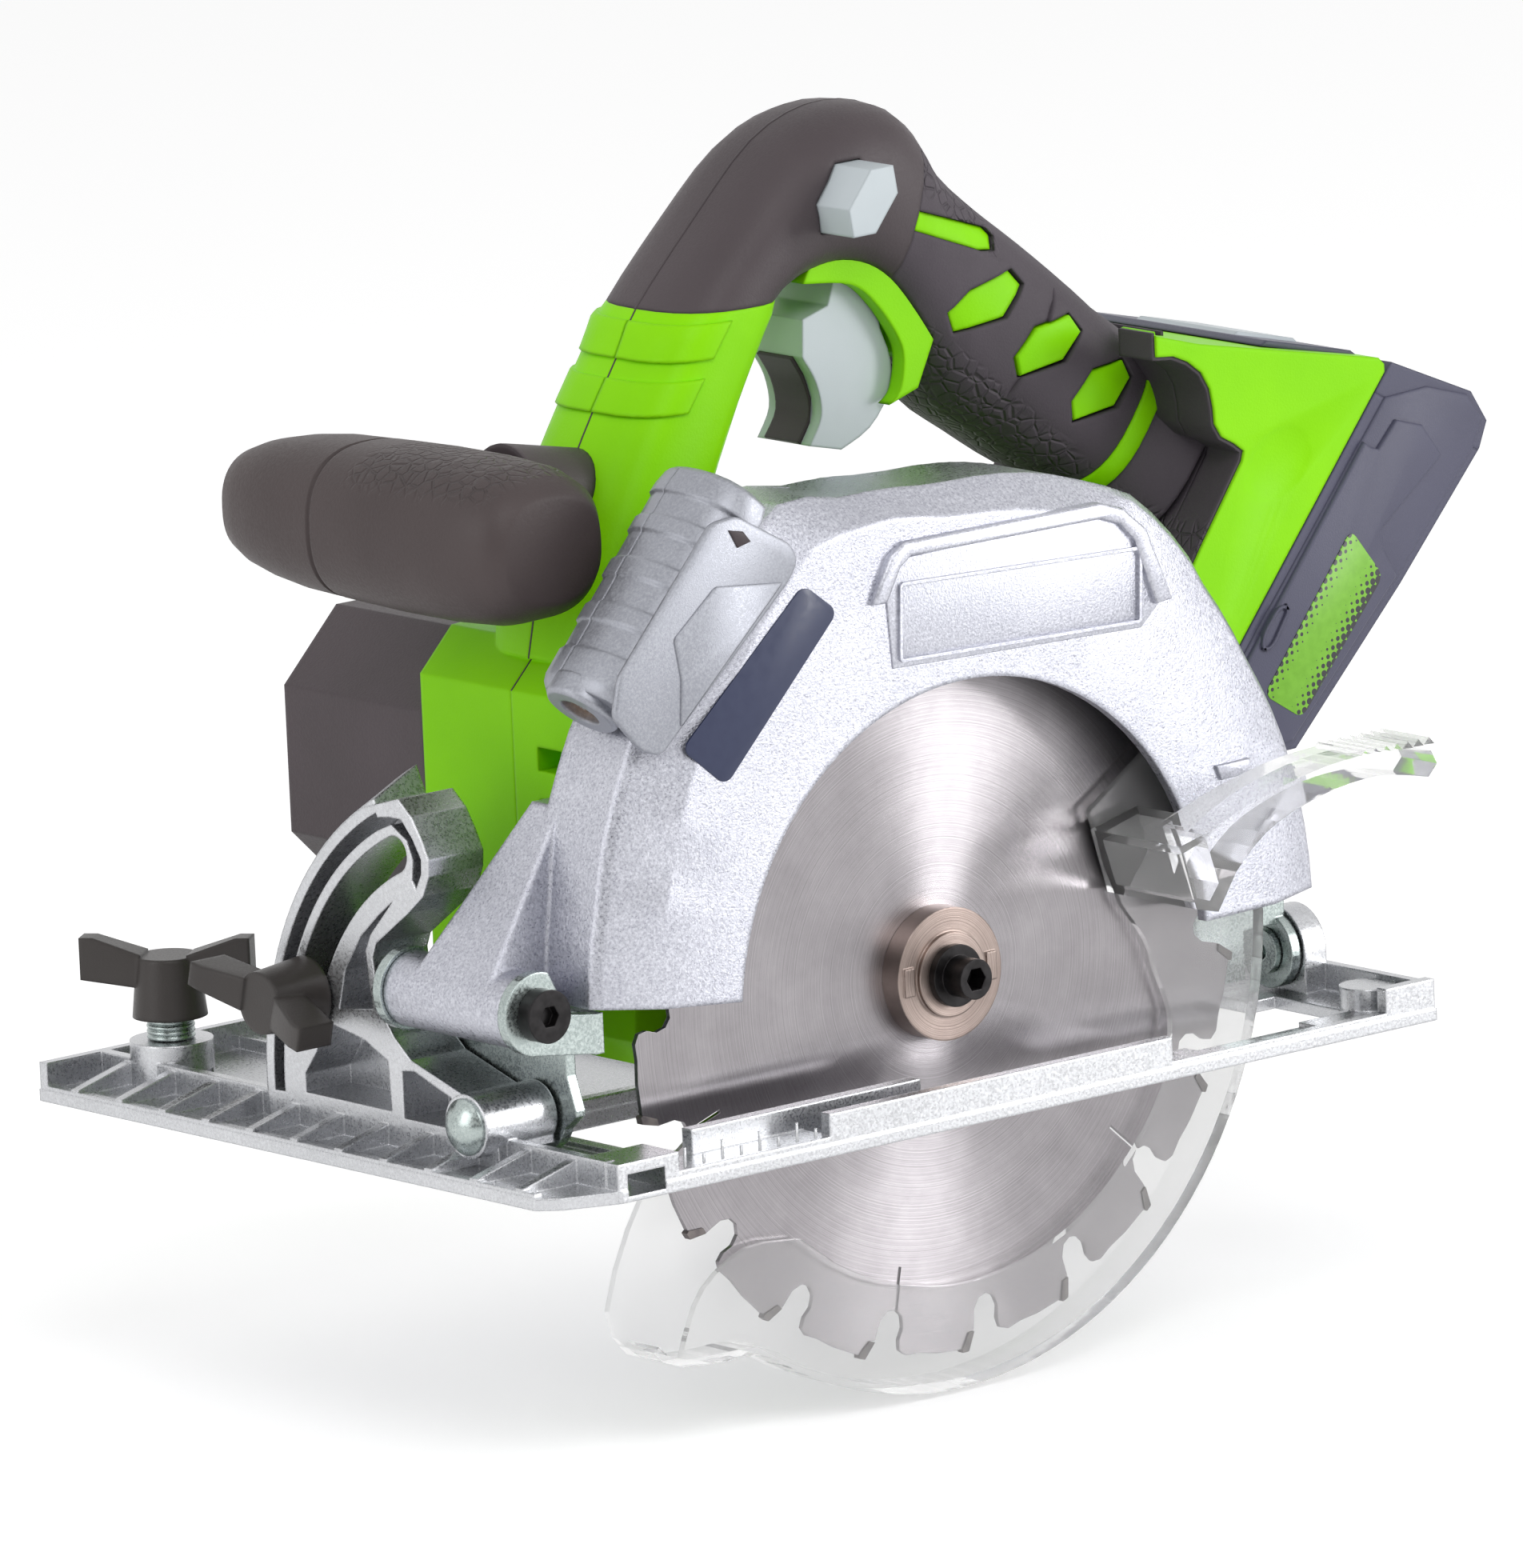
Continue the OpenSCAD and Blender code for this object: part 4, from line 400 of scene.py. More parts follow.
def outlineFrame(outline, width, yIn, yOut, rounding=0.0):
    # A raised line that runs round an outline
    bm = outlineFace(outline, yIn, rounding, 4)
    bm.faces.ensure_lookup_table()
    face = bm.faces[0]
    bmesh.ops.inset_individual(bm, faces=[face], thickness=width * mm)
    bmesh.ops.delete(bm, geom=[face], context="FACES")
    bmesh.ops.solidify(bm, geom=bm.faces[:], thickness=abs(yOut - yIn) * mm)
    bmesh.ops.recalc_face_normals(bm, faces=bm.faces)
    lowest = min(v.co.y for v in bm.verts)
    bmesh.ops.translate(bm, verts=bm.verts, vec=(0, min(yIn, yOut) * mm - lowest, 0))
    return bm


def grownOutline(outline, by):
    # The outline with each corner moved away from its middle
    centre = Vector([sum(p[i] for p in outline) / len(outline) for i in (0, 1)])
    grown = []
    for corner in outline:
        away = Vector(corner) - centre
        grown.append(tuple(centre + away * (1 + by / away.length)))
    return grown


def oval(centre, up, side, height, width, power, count):
    # Points of a rounded box; the higher the power, the squarer it is
    points = []
    for i in range(count):
        angle = 2 * math.pi * i / count
        u = math.copysign(abs(math.cos(angle)) ** (2 / power), math.cos(angle))
        v = math.copysign(abs(math.sin(angle)) ** (2 / power), math.sin(angle))
        points.append(centre + up * height * u * mm + side * width * v * mm)
    return points


def closedLoop(bm, points):
    loop = [bm.verts.new(p) for p in points]
    return loop, [bm.edges.new((loop[i], loop[(i + 1) % len(loop)])) for i in range(len(loop))]


def extrudeLoop(bm, edges):
    grown = bmesh.ops.extrude_edge_only(bm, edges=edges)["geom"]
    return ([v for v in grown if isinstance(v, bmesh.types.BMVert)],
            [e for e in grown if isinstance(e, bmesh.types.BMEdge)])


def closeEnds(bm):
    bmesh.ops.holes_fill(bm, edges=[e for e in bm.edges if len(e.link_faces) == 1])


def sweep(section, stations, axis, side, out, foot):
    # A closed section drawn along an axis; each station gives its place, its scale and the height it shrinks about
    bm = bmesh.new()
    loop, edges = closedLoop(bm, [foot + side * a * mm + out * b * mm for a, b in section])
    spot, size = 0.0, 1.0
    for index, (reach, scale, pivot) in enumerate(stations):
        if index:
            loop, edges = extrudeLoop(bm, edges)
        bmesh.ops.translate(bm, verts=loop, vec=axis * (reach - spot) * mm)
        about = foot + axis * reach * mm + out * pivot * mm
        bmesh.ops.scale(bm, verts=loop, vec=(scale / size,) * 3, space=Matrix.Translation(-about))
        spot, size = reach, scale
    closeEnds(bm)
    bmesh.ops.recalc_face_normals(bm, faces=bm.faces)
    return bm


def mergedCopy(node, lift=0.0):
    # The CAD node's shape with its points joined, and grown outwards by lift
    bm = bmesh.new()
    bm.from_mesh(nodes[node].data)
    bmesh.ops.remove_doubles(bm, verts=bm.verts, dist=2e-6)
    if lift:
        bm.normal_update()
        for vert, normal in [(v, v.normal.copy()) for v in bm.verts]:
            vert.co += normal * lift * mm
    return bm


def carve(bm, cutter, how="DIFFERENCE"):
    # Boolean of two closed shapes; both are used up and the result is a new bmesh
    held = []
    for shape in (bm, cutter):
        mesh = bpy.data.meshes.new("work")
        shape.to_mesh(mesh)
        shape.free()
        thing = bpy.data.objects.new("work", mesh)
        bpy.context.scene.collection.objects.link(thing)
        held.append(thing)
    modifier = held[0].modifiers.new("cut", "BOOLEAN")
    modifier.operation = how
    modifier.solver = "EXACT"
    modifier.object = held[1]
    made = bmesh.new()
    made.from_object(held[0], bpy.context.evaluated_depsgraph_get())
    for thing in held:
        mesh = thing.data
        bpy.data.objects.remove(thing)
        bpy.data.meshes.remove(mesh)
    return made


def inlay(outline, node, lift, yIn, yOut):
    # The part of a node's own surface that lies behind an outline, lifted or sunk
    return carve(mergedCopy(node, lift), outlinePlate(outline, yIn, yOut, 0), "INTERSECT")


def bodyOf(name):
    return next(body for body, held in frame["record"]["behaviour"]["bodies"].items() if name in held)


def addPiece(name, bm, material, body, smooth=35):
    tidyMesh(bm, smooth)
    mesh = bpy.data.meshes.new(name)
    bm.to_mesh(mesh)
    bm.free()
    mesh.materials.append(material)
    piece = bpy.data.objects.new(name, mesh)
    bpy.context.scene.collection.objects.link(piece)
    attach(piece, body)
    return piece


def smoothCopy(node, smooth, bm=None):
    # The CAD node's own shape with its points joined, so that curved walls shade as one surface
    piece = addPiece("smooth_" + node, bm or mergedCopy(node), nodeFinish[node], bodyOf(node), smooth)
    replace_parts(piece, node)
    return piece


# Rear handle: windows of green in the rubber, and the tail that goes into the dock
handleLook = {"lozenges": [[(58.2, 163.8), (61.2, 160.3), (55.3, 154.5), (42.9, 152.9), (41.2, 157.4), (46.8, 161.2)],
                           [(72.7, 152.3), (75.6, 148.4), (70.2, 143.1), (58.4, 141.4), (57.6, 145.6), (63.4, 150.8)],
                           [(86.8, 140.6), (88.7, 136.6), (83.9, 131.2), (72.6, 129.7), (72.1, 134.2), (78.0, 139.7)]],
              "strip": [(27.8, 181.2), (29.7, 181.3), (53.5, 173.5), (55.4, 171.5), (54.0, 168.8), (50.1, 169.4),
                        (28.2, 177.6)],
              "sides": [(-5, gripY - 4), (gripY + 4, 105)],  # how far each side's cuts reach along Y
              "gap": 0.7, "sink": 0.9, "plates": [32.0, 68.0]}
rubber = mergedCopy("grip_rubber")
for index, outline in enumerate(handleLook["lozenges"] + [handleLook["strip"]]):
    for side, reach in enumerate(handleLook["sides"]):
        rubber = carve(rubber, outlinePlate(grownOutline(outline, handleLook["gap"]), *reach, 0))
        if index in (1, 2):
            # These two lie in the tail as well, so a flat plate fills them
            window = outlinePlate(outline, reach[1 - side], handleLook["plates"][side], 0.5)
        else:
            window = inlay(outline, "grip_rubber", -handleLook["sink"], *reach)
        addPiece("handle_window_%d" % (index * 2 + side + 1), window, greenShell, "saw", 25)
smoothCopy("grip_rubber", 30, rubber)

# Each band gives its start and end along the tail, how far it stands proud, and its flare at the end
tailLook = {"from": Vector((62.9, gripY, 146.8)) * mm, "to": Vector((98.0, gripY, 120.8)) * mm, "height": 18.0,
            "width": 18.6, "power": 2.6, "rim": 0.4,
            "bands": [(0.0, 31.5, 0.3, 0.3), (31.5, 36.2, 0.8, 1.0), (36.2, 46.5, 0.2, 8.0)]}
tailAxis = (tailLook["to"] - tailLook["from"]).normalized()
tailUp = Vector((-tailAxis.z, 0, tailAxis.x))
for index, (start, end, proud, flare) in enumerate(tailLook["bands"]):
    bm = bmesh.new()
    wide = tailLook["width"] + proud
    bm.faces.new([bm.verts.new(p) for p in oval(tailLook["from"] + tailAxis * start * mm, tailUp, Vector((0, 1, 0)),
                                                tailLook["height"] + proud, wide, tailLook["power"], 40)])
    grown = bmesh.ops.extrude_face_region(bm, geom=bm.faces[:])
    far = [v for v in grown["geom"] if isinstance(v, bmesh.types.BMVert)]
    bmesh.ops.translate(bm, verts=far, vec=tailAxis * (end - start) * mm)
    bmesh.ops.scale(bm, verts=far, vec=((tailLook["width"] + flare) / wide,) * 3,
                    space=Matrix.Translation(-tailLook["from"] - tailAxis * end * mm))
    rim = [e for e in bm.edges if e.calc_face_angle(0) > 1]
    bmesh.ops.bevel(bm, geom=rim, offset=tailLook["rim"] * mm, segments=2, profile=0.5, affect="EDGES", material=-1)
    if index == 0:
        for outline in handleLook["lozenges"][1:]:
            for reach in handleLook["sides"]:
                bm = carve(bm, outlinePlate(grownOutline(outline, handleLook["gap"]), *reach, 0))
    addPiece("handle_tail_%d" % (index + 1), bm, greenShell if index == 1 else softRubber, "saw", 50)

# Dock: stands back from the handle, so its front is cut away in slabs of Y and lined with rubber, and its side
# has a shallow arch. The outlines of the slabs run down to where front begins.
dockLook = {"front": [(95.4, 127.6), (97.2, 124.6), (100.6, 122.7), (103.2, 120.7), (102.6, 118.6), (90.2, 101.8),
                      (80, 87), (56, 87), (56, 160)],
            "lined": 7,  # points of front that have a liner
            "slabs": [(5, 24, [(79.8, 160), (79.8, 144.3), (84.6, 143.8), (88.6, 142.0), (92.2, 139.2),
                               (94.4, 135.4), (95.2, 131.2)]),
                      (24, 34, [(89, 160), (90, 143), (94.4, 135.4), (95.2, 131.2)]),
                      (34, 50, [(100, 160), (100, 131)])],
            "side": 13.0, "liner": 0.8, "linerStart": 13.5,
            "roofAt": (85, 148.2), "roofSlope": 0.235,  # the liners end below the dock's sloping top
            "greenAbove": 142.6,
            "arch": (12, 2.6, 8.5), "archTilt": -28, "archAt": (112.5, 11.7, 116.5),
            "hexagon": [(102.7, 108.4), (110.3, 104.9), (109.3, 97.5), (100.5, 91.5), (93.6, 95.6), (94.7, 103.0)]}


def sidePlace(y, side):
    # A distance from the right face of the dock, turned over for the left half
    return y if side < 0 else 2 * gripY - y


for node, side in (("housing_right", -1), ("housing_left", 1)):
    shell = mergedCopy(node)
    for index, (near, deep, top) in enumerate(dockLook["slabs"]):
        inner = sidePlace(deep + 0.1, side)
        shell = carve(shell, outlinePlate(top + dockLook["front"], sidePlace(near, side), inner, 0))
        start = sidePlace(max(near, dockLook["linerStart"]), side)
        roofX, roofZ = dockLook["roofAt"]
        bm = bmesh.new()
        line = [bm.verts.new((x * mm, start * mm, min(z, roofZ - (x - roofX) * dockLook["roofSlope"]) * mm))
                for x, z in top + dockLook["front"][:dockLook["lined"]]]
        loop, edges = extrudeLoop(bm, [bm.edges.new(pair) for pair in zip(line, line[1:])])
        bmesh.ops.translate(bm, verts=loop, vec=(0, (inner - start) * mm, 0))
        bmesh.ops.recalc_face_normals(bm, faces=bm.faces)
        bmesh.ops.solidify(bm, geom=bm.faces[:], thickness=dockLook["liner"] * mm)
        liner = addPiece("dock_liner_%s_%d" % (node[8:], index + 1), bm, softRubber, "saw", 40)
        liner.data.materials.append(greenShell)
        for face in liner.data.polygons:
            face.material_index = int(index == 1 and face.center.z > dockLook["greenAbove"] * mm)
    hollow = bmesh.new()
    bmesh.ops.create_uvsphere(hollow, u_segments=48, v_segments=24, radius=1.0)
    bmesh.ops.scale(hollow, verts=hollow.verts, vec=[v * mm for v in dockLook["arch"]])
    bmesh.ops.rotate(hollow, verts=hollow.verts, matrix=Matrix.Rotation(math.radians(dockLook["archTilt"]), 3, "Y"))
    archX, archY, archZ = dockLook["archAt"]
    bmesh.ops.translate(hollow, verts=hollow.verts, vec=(archX * mm, sidePlace(archY, side) * mm, archZ * mm))
    smoothCopy(node, 26, carve(shell, hollow))
print("handle and dock made")

# Front handle: a bulb drawn along Y with a ring seam; each station gives its place and its two half widths
bulbLook = {"at": (-84.0, 128.0), "power": 2.5,
            "stations": [(15.2, 12.0, 10.4), (15.6, 13.2, 11.6), (19.5, 16.2, 14.7), (26.0, 17.7, 16.5),
                         (38.0, 18.2, 17.2), (54.0, 18.2, 17.2), (68.0, 17.8, 16.8), (73.4, 17.6, 16.6),
                         (73.7, 17.0, 16.0), (74.6, 17.0, 16.0), (74.9, 17.5, 16.5), (86.0, 17.0, 16.1),
                         (96.0, 15.8, 15.0), (104.0, 14.2, 13.5), (109.5, 12.2, 11.6), (112.8, 9.6, 9.0),
                         (114.0, 6.5, 6.0)]}
bm = bmesh.new()
middle = Vector((bulbLook["at"][0], 0, bulbLook["at"][1])) * mm
firstY, lastX, lastZ = bulbLook["stations"][0]
loop, edges = closedLoop(bm, oval(middle + Vector((0, firstY * mm, 0)), Vector((0, 0, 1)), Vector((1, 0, 0)),
                                  lastZ, lastX, bulbLook["power"], 56))
bm.faces.new(loop)
for y, halfX, halfZ in bulbLook["stations"][1:]:
    loop, edges = extrudeLoop(bm, edges)
    for vert in loop:
        vert.co.y = y * mm
    bmesh.ops.scale(bm, verts=loop, vec=(halfX / lastX, 1, halfZ / lastZ), space=Matrix.Translation(-middle))
    lastX, lastZ = halfX, halfZ
closeEnds(bm)
bulb = addPiece("front_handle", bm, bulbRubber, "saw", 40)
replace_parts(bulb, "front_grip")
smoothCopy("front_grip_neck", 30)
smoothCopy("grip_cap", 30)

# Dark line where the two halves of the cap meet
capLook = {"around": [(-130, 85), (130, 85), (130, 215), (-130, 215)], "lift": 0.06,
           "line": (gripY - 0.3, gripY + 0.5)}
parting = inlay(capLook["around"], "grip_cap", capLook["lift"], *capLook["line"])
for vert in parting.verts:
    vert.co.z = min(vert.co.z, cadBox[1][2])
addPiece("cap_parting", parting, darkInsert, "saw", 30)
print("front handle and cap made")

# Upper guard's face: ridge, bare framed field, hexagon, plate and a small tab, each from a place just inside the
# face to its own height in front of it
smoothCopy("upper_guard", 24)
guardLook = {"ridge": [(-25.0, 110.9), (-22.8, 115.3), (-19.6, 120.6), (-15.9, 122.9), (37.9, 122.9), (44.0, 120.8),
                       (50.2, 115.6), (56.8, 99.6), (52.2, 99.2), (46.8, 113.8), (43.0, 117.6), (38.0, 119.4),
                       (-14.2, 119.7), (-17.2, 117.6), (-21.2, 110.8)],
             "field": [(-20.4, 111.0), (-17.0, 119.4), (38.0, 120.6), (45.9, 117.8), (54.5, 99.6), (48.6, 94.6),
                       (-19.4, 96.6)],
             "frame": [(-17.3, 114.5), (49.1, 112.0), (48.2, 95.7), (-18.2, 97.7)],
             "hexagon": [(39.6, 90.1), (51.5, 91.6), (62.1, 87.6), (60.5, 82.5), (48.8, 80.1), (40.0, 83.7)],
             "plate": [(-42.4, 118.0), (-33.5, 111.0), (-65.4, 79.4), (-76.6, 88.8)],
             "tab": [(67.5, 62.0), (76.9, 62.2), (77.4, 59.0), (68.9, 58.7)],
             "face": -14.6}  # the guard's flat face along Y; the flap of the laser unit lies on it too
face = guardLook["face"]
addPiece("guard_ridge", outlinePlate(guardLook["ridge"], face + 1, face - 1.7, 0.7), guardTrim, "saw", 50)
field = addPiece("guard_field", outlinePlate(guardLook["field"], face + 1, face - 0.45, 0.3), guardTrim, "saw")
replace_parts(field, "guard_panel")
addPiece("guard_field_frame", outlineFrame(guardLook["frame"], 0.8, face - 0.2, face - 1.2, 1.2), guardTrim, "saw")
addPiece("guard_hexagon", outlineFrame(guardLook["hexagon"], 0.9, face + 0.2, face - 0.9), guardTrim, "saw")
addPiece("guard_plate", outlinePlate(guardLook["plate"], face + 0.2, face - 0.25, 0.05, 2.4), navyFilm, "saw")
addPiece("guard_tab", outlinePlate(guardLook["tab"], face + 0.5, face - 0.8, 0.3), guardTrim, "saw")
print("guard made")

# Laser unit: a barrel with bands, split at its seam over a dark core, a ring and a nozzle at its front, a side flap
laserFoot = Vector((-0.0855, 0, 0.095))
laserAxis = Vector((0.665, 0, 0.747)).normalized()
laserOut = Vector((-0.747, 0, 0.665)).normalized()
laserSide = Vector((0, 1, 0))
laserLook = {"section": [(-15, 0.6), (-15, 3.5), (-14.2, 7.2), (-11.8, 10.2), (-8, 12.2), (-3, 13.2), (2, 13.3),
                         (6.5, 12.6), (10.2, 10.6), (12.6, 7.4), (13.6, 3.5), (13.6, 0.6)],
             "centre": 5.6,  # height of the lens over the foot of the section
             "front": [(0.0, 0.86), (1.2, 0.95), (3.0, 1.0)], "back": [(50.0, 0.99), (53.0, 0.93), (54.0, 0.82)],
             "bands": [(9.5, 15.5), (20.5, 26.5), (31.5, 37.5), (42.0, 47.0)], "bandScale": 0.94, "bandEdge": 0.5,
             "core": [(2.5, 0.9), (50.5, 0.9)], "seams": {"laser_case_right": (-1, 2.85), "laser_case_left": (1, 3.15)},
             "bore": 4.5, "boreLength": 44, "ring": [(4.5, -2.2), (7.6, -2.2), (8.3, -1.4), (8.3, 3.0), (4.5, 3.0)],
             "nozzle": (4.2, 1.4, 2.6), "nozzleAt": 1.2,
             "flap": [(-66.7, 134.5), (-60.0, 135.2), (-45.7, 127.1), (-44.1, 123.2), (-46.8, 119.4), (-79.2, 91.6),
                      (-82.7, 88.5), (-87.9, 90.4), (-94.7, 98.3), (-92.9, 106.3)],
             "panel": [(-66.8, 121.5), (-48.6, 119.6), (-77.6, 93.6), (-76.9, 103.7), (-78.4, 112.3)],
             "notch": [(-62.6, 132.6), (-58.8, 131.8), (-56.8, 129.4), (-60.4, 128.6)],
             "inFlap": -15.4, "flapFront": -15.7, "panelFront": -16.1, "notchFront": -15.95}


def laserSweep(stations):
    return sweep(laserLook["section"], [(at, scale, laserLook["centre"]) for at, scale in stations], laserAxis,
                 laserSide, laserOut, laserFoot)


def toLens(bm, facing, along=0.0):
    # From the origin and Z to the lens's centre, facing up or down the barrel
    lens = laserFoot + laserOut * laserLook["centre"] * mm + laserAxis * along * mm
    turn = (laserAxis * facing).to_track_quat("Z", "Y").to_matrix().to_4x4()
    bmesh.ops.transform(bm, matrix=Matrix.Translation(lens) @ turn, verts=bm.verts)


stations = list(laserLook["front"])
for start, end in laserLook["bands"]:
    stations += [(start - laserLook["bandEdge"], 1.0), (start, laserLook["bandScale"]),
                 (end, laserLook["bandScale"]), (end + laserLook["bandEdge"], 1.0)]
bore = bmesh.new()
bmesh.ops.create_cone(bore, cap_ends=True, segments=40, radius1=laserLook["bore"] * mm,
                      radius2=laserLook["bore"] * mm, depth=laserLook["boreLength"] * mm)
toLens(bore, 1)
barrel = carve(laserSweep(stations + laserLook["back"]), bore)
for node, (side, seam) in laserLook["seams"].items():
    half = barrel.copy()
    bmesh.ops.bisect_plane(half, geom=half.verts[:] + half.edges[:] + half.faces[:], plane_co=(0, seam * mm, 0),
                           plane_no=(0, -side, 0), clear_outer=True)
    closeEnds(half)
    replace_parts(addPiece("shell_" + node, half, laserShell, "saw", 28), node)
barrel.free()
addPiece("laser_core", laserSweep(laserLook["core"]), darkInsert, "saw", 28)
wide, narrow, deep = laserLook["nozzle"]
nozzle = bmesh.new()
bmesh.ops.create_cone(nozzle, cap_ends=True, segments=40, radius1=wide * mm, radius2=narrow * mm, depth=deep * mm)
bmesh.ops.bevel(nozzle, geom=nozzle.edges[:], offset=0.2 * mm, segments=2, profile=0.5, affect="EDGES", material=-1)
toLens(nozzle, -1, laserLook["nozzleAt"])
addPiece("laser_nozzle", nozzle, brass, "saw", 40)
ring = bmesh.new()
loop, edges = closedLoop(ring, [(r * mm, 0, h * mm) for r, h in laserLook["ring"]])
bmesh.ops.spin(ring, geom=loop + edges, cent=(0, 0, 0), axis=(0, 0, 1), angle=2 * math.pi, steps=48, use_merge=True)
toLens(ring, 1)
addPiece("laser_ring", ring, laserShell, "saw", 40)
# The flap is thin, so that the lower guard's lever passes in front of it
inFlap = laserLook["inFlap"]
addPiece("laser_flap", outlinePlate(laserLook["flap"], face + 0.3, laserLook["flapFront"], 0.6, 1.6), laserShell,
         "saw")
addPiece("laser_flap_panel", outlinePlate(laserLook["panel"], inFlap, laserLook["panelFront"], 0.3, 0.8), laserShell,
         "saw")
addPiece("laser_flap_notch", outlinePlate(laserLook["notch"], inFlap, laserLook["notchFront"], 0.1), darkInsert,
         "saw")
print("laser made")


def onBothSides(name, shape, proud, material, body):
    # The same raised shape on the near side and on the far side of the dock or the battery
    for tag, side in (("near", -1), ("far", 1)):
        surface = sidePlace(dockLook["side"], side)
        addPiece(name + "_" + tag, shape(surface - side * 0.5, surface + side * proud), material, body)


def railOutline(points):
    # From places along and out from the battery's rail to X and Z
    places = [railFoot / mm + railDir * u + railOut * v for u, v in points]
    return [(p.x, p.z) for p in places]


onBothSides("dock_hexagon", lambda yIn, yOut: outlineFrame(dockLook["hexagon"], 1.2, yIn, yOut), 1.2, greenShell, "saw")

# Battery: stepped side, bare dotted label and an oval, all placed from the rail; its top with the pale key
batteryLook = {"mid": [(-1.5, 1.6), (15.6, 22.6), (18.8, 25.6), (62.5, 29.6), (97.5, 31.4), (103.6, 29.8),
                       (105.5, 23.0), (100.8, 12.0), (92.6, 3.2)],
               "raised": [(2.0, 3.2), (81.5, 3.2), (81.6, 5.5), (82.4, 7.5), (90.1, 8.1), (93.1, 15.1), (90.9, 23.9),
                          (69.0, 18.7), (65.8, 22.0), (63.4, 28.6), (19.5, 24.4), (16.6, 21.2)],
               "label": [(23.2, 11.4), (64.4, 11.0), (61.2, 25.0), (24.8, 23.6)],
               "oval": [(30.6, 4.2), (33.6, 2.9), (40.0, 3.0), (42.0, 4.6), (41.4, 6.4), (33.4, 7.2), (31.0, 6.4)],
               "top": [(114.0, 141.0), (116.0, 141.9), (139.4, 136.3), (143.8, 132.9), (142.8, 132.0), (139.3, 135.0)],
               "topReach": (gripY - 31, gripY + 31),
               "key": [(119.0, 140.6), (121.0, 141.5), (136.4, 137.8), (138.4, 136.0)],
               "keyReach": (gripY - 16, gripY + 16)}
for key, proud in (("mid", 0.5), ("raised", 1.4)):
    outline = railOutline(batteryLook[key])
    onBothSides("battery_" + key, lambda yIn, yOut: outlinePlate(outline, yIn, yOut, 0.45), proud, batteryShell,
                "battery")
labelLine = railOutline(batteryLook["label"])
onBothSides("battery_label", lambda yIn, yOut: outlinePlate(labelLine, yIn, yOut, 0.05, 2.2), 1.55, dottedLabel,
            "battery")
ovalLine = railOutline(batteryLook["oval"])
onBothSides("battery_oval", lambda yIn, yOut: outlineFrame(ovalLine, 0.7, yIn, yOut, 1.2), 2.0, batteryShell,
            "battery")
addPiece("battery_top", outlinePlate(batteryLook["top"], *batteryLook["topReach"], 0.4), batteryShell, "battery", 30)
addPiece("battery_top_key", outlinePlate(batteryLook["key"], *batteryLook["keyReach"], 0.5), paleKey, "battery", 30)
print("battery made")

# Green column: two raised bands that wrap its front, and the parting line between the halves
columnLook = {"bands": [[(-20.0, 164.9), (-70.0, 164.9), (-70.0, 157.6), (-25.5, 157.6)],
                        [(-28.1, 153.8), (-75.0, 153.8), (-75.0, 147.2), (-33.1, 147.2)]],
              "reach": {"housing_right": (28, gripY - 0.2), "housing_left": (gripY + 0.2, 74)}, "proud": 0.7,
              "parting": [(-75, 172), (-75, 92), (-36, 92), (-20, 172)], "line": (gripY - 0.4, gripY + 0.6),
              "lift": 0.06}
for index, outline in enumerate(columnLook["bands"]):
    for node, reach in columnLook["reach"].items():
        addPiece("column_band_%d_%s" % (index + 1, node[8:]), inlay(outline, node, columnLook["proud"], *reach),
                 greenShell, "saw", 30)
addPiece("column_parting", inlay(columnLook["parting"], "housing_right", columnLook["lift"], *columnLook["line"]),
         darkInsert, "saw")
print("column made")

# Strokes for the rip fence on the sole's front rim, and the lower guard's bare arrow
scaleLook = {"from": -89.0, "to": -54.0, "count": 8, "half": 0.35, "y": -25.0, "low": 4.6, "short": 6.7, "tall": 8.8}
for index in range(scaleLook["count"]):
    x = scaleLook["from"] + (scaleLook["to"] - scaleLook["from"]) * index / (scaleLook["count"] - 1)
    left, right = x - scaleLook["half"], x + scaleLook["half"]
    top = scaleLook["short"] if index % 2 else scaleLook["tall"]
    stroke = [(left, scaleLook["low"]), (right, scaleLook["low"]), (right, top), (left, top)]
    addPiece("rail_mark_%d" % (index + 1), outlinePlate(stroke, scaleLook["y"] + 0.2, scaleLook["y"], 0.05),
             soleCast, "sole")
arrowLook = {"outline": [(-39.1, -30.9), (-37.6, -33.4), (-13.0, -43.0), (-14.4, -46.4), (-38.6, -37.4),
                         (-40.4, -39.4)], "width": 0.5, "heights": (-3.3, -3.85)}
addPiece("lower_guard_arrow", outlineFrame(arrowLook["outline"], arrowLook["width"], *arrowLook["heights"]),
         clearGuard, "lower_guard")
print("marks made")

for node in ("bevel_knob", "fence_knob", "motor_end_cap", "trigger", "trigger_pad"):
    bm = mergedCopy(node)
    bmesh.ops.dissolve_limit(bm, angle_limit=math.radians(1.0), verts=bm.verts, edges=bm.edges)
    smoothCopy(node, 30, bm)
print("smooth copies made")

# Stage: plain pale floor, white surroundings, four soft lamps aimed at the saw's middle
stageLook = {"floorZ": -0.0627, "floorSize": 6.0, "floorColour": "#f4f4f4", "floorGlow": 0.35,
             "world": 0.62, "cardAt": (-0.8, -0.55, 0.1), "cardFrom": 0.55, "cardTo": 0.92, "card": 0.3,
             "aim": (0, 0, 0.08),
             "lamps": {"keyLamp": {"at": (-0.9, -1.6, 1.7), "size": (1.2, 1.2), "power": 17},
                       "fillLamp": {"at": (1.5, -1.55, 0.7), "size": (0.6, 0.9), "power": 15},
                       "lowLamp": {"at": (1.7, -1.8, 0.02), "size": (0.5, 0.5), "power": 9},
                       "leftLamp": {"at": (-2.0, 0.2, 0.8), "size": (1.2, 1.4), "power": 12}}}


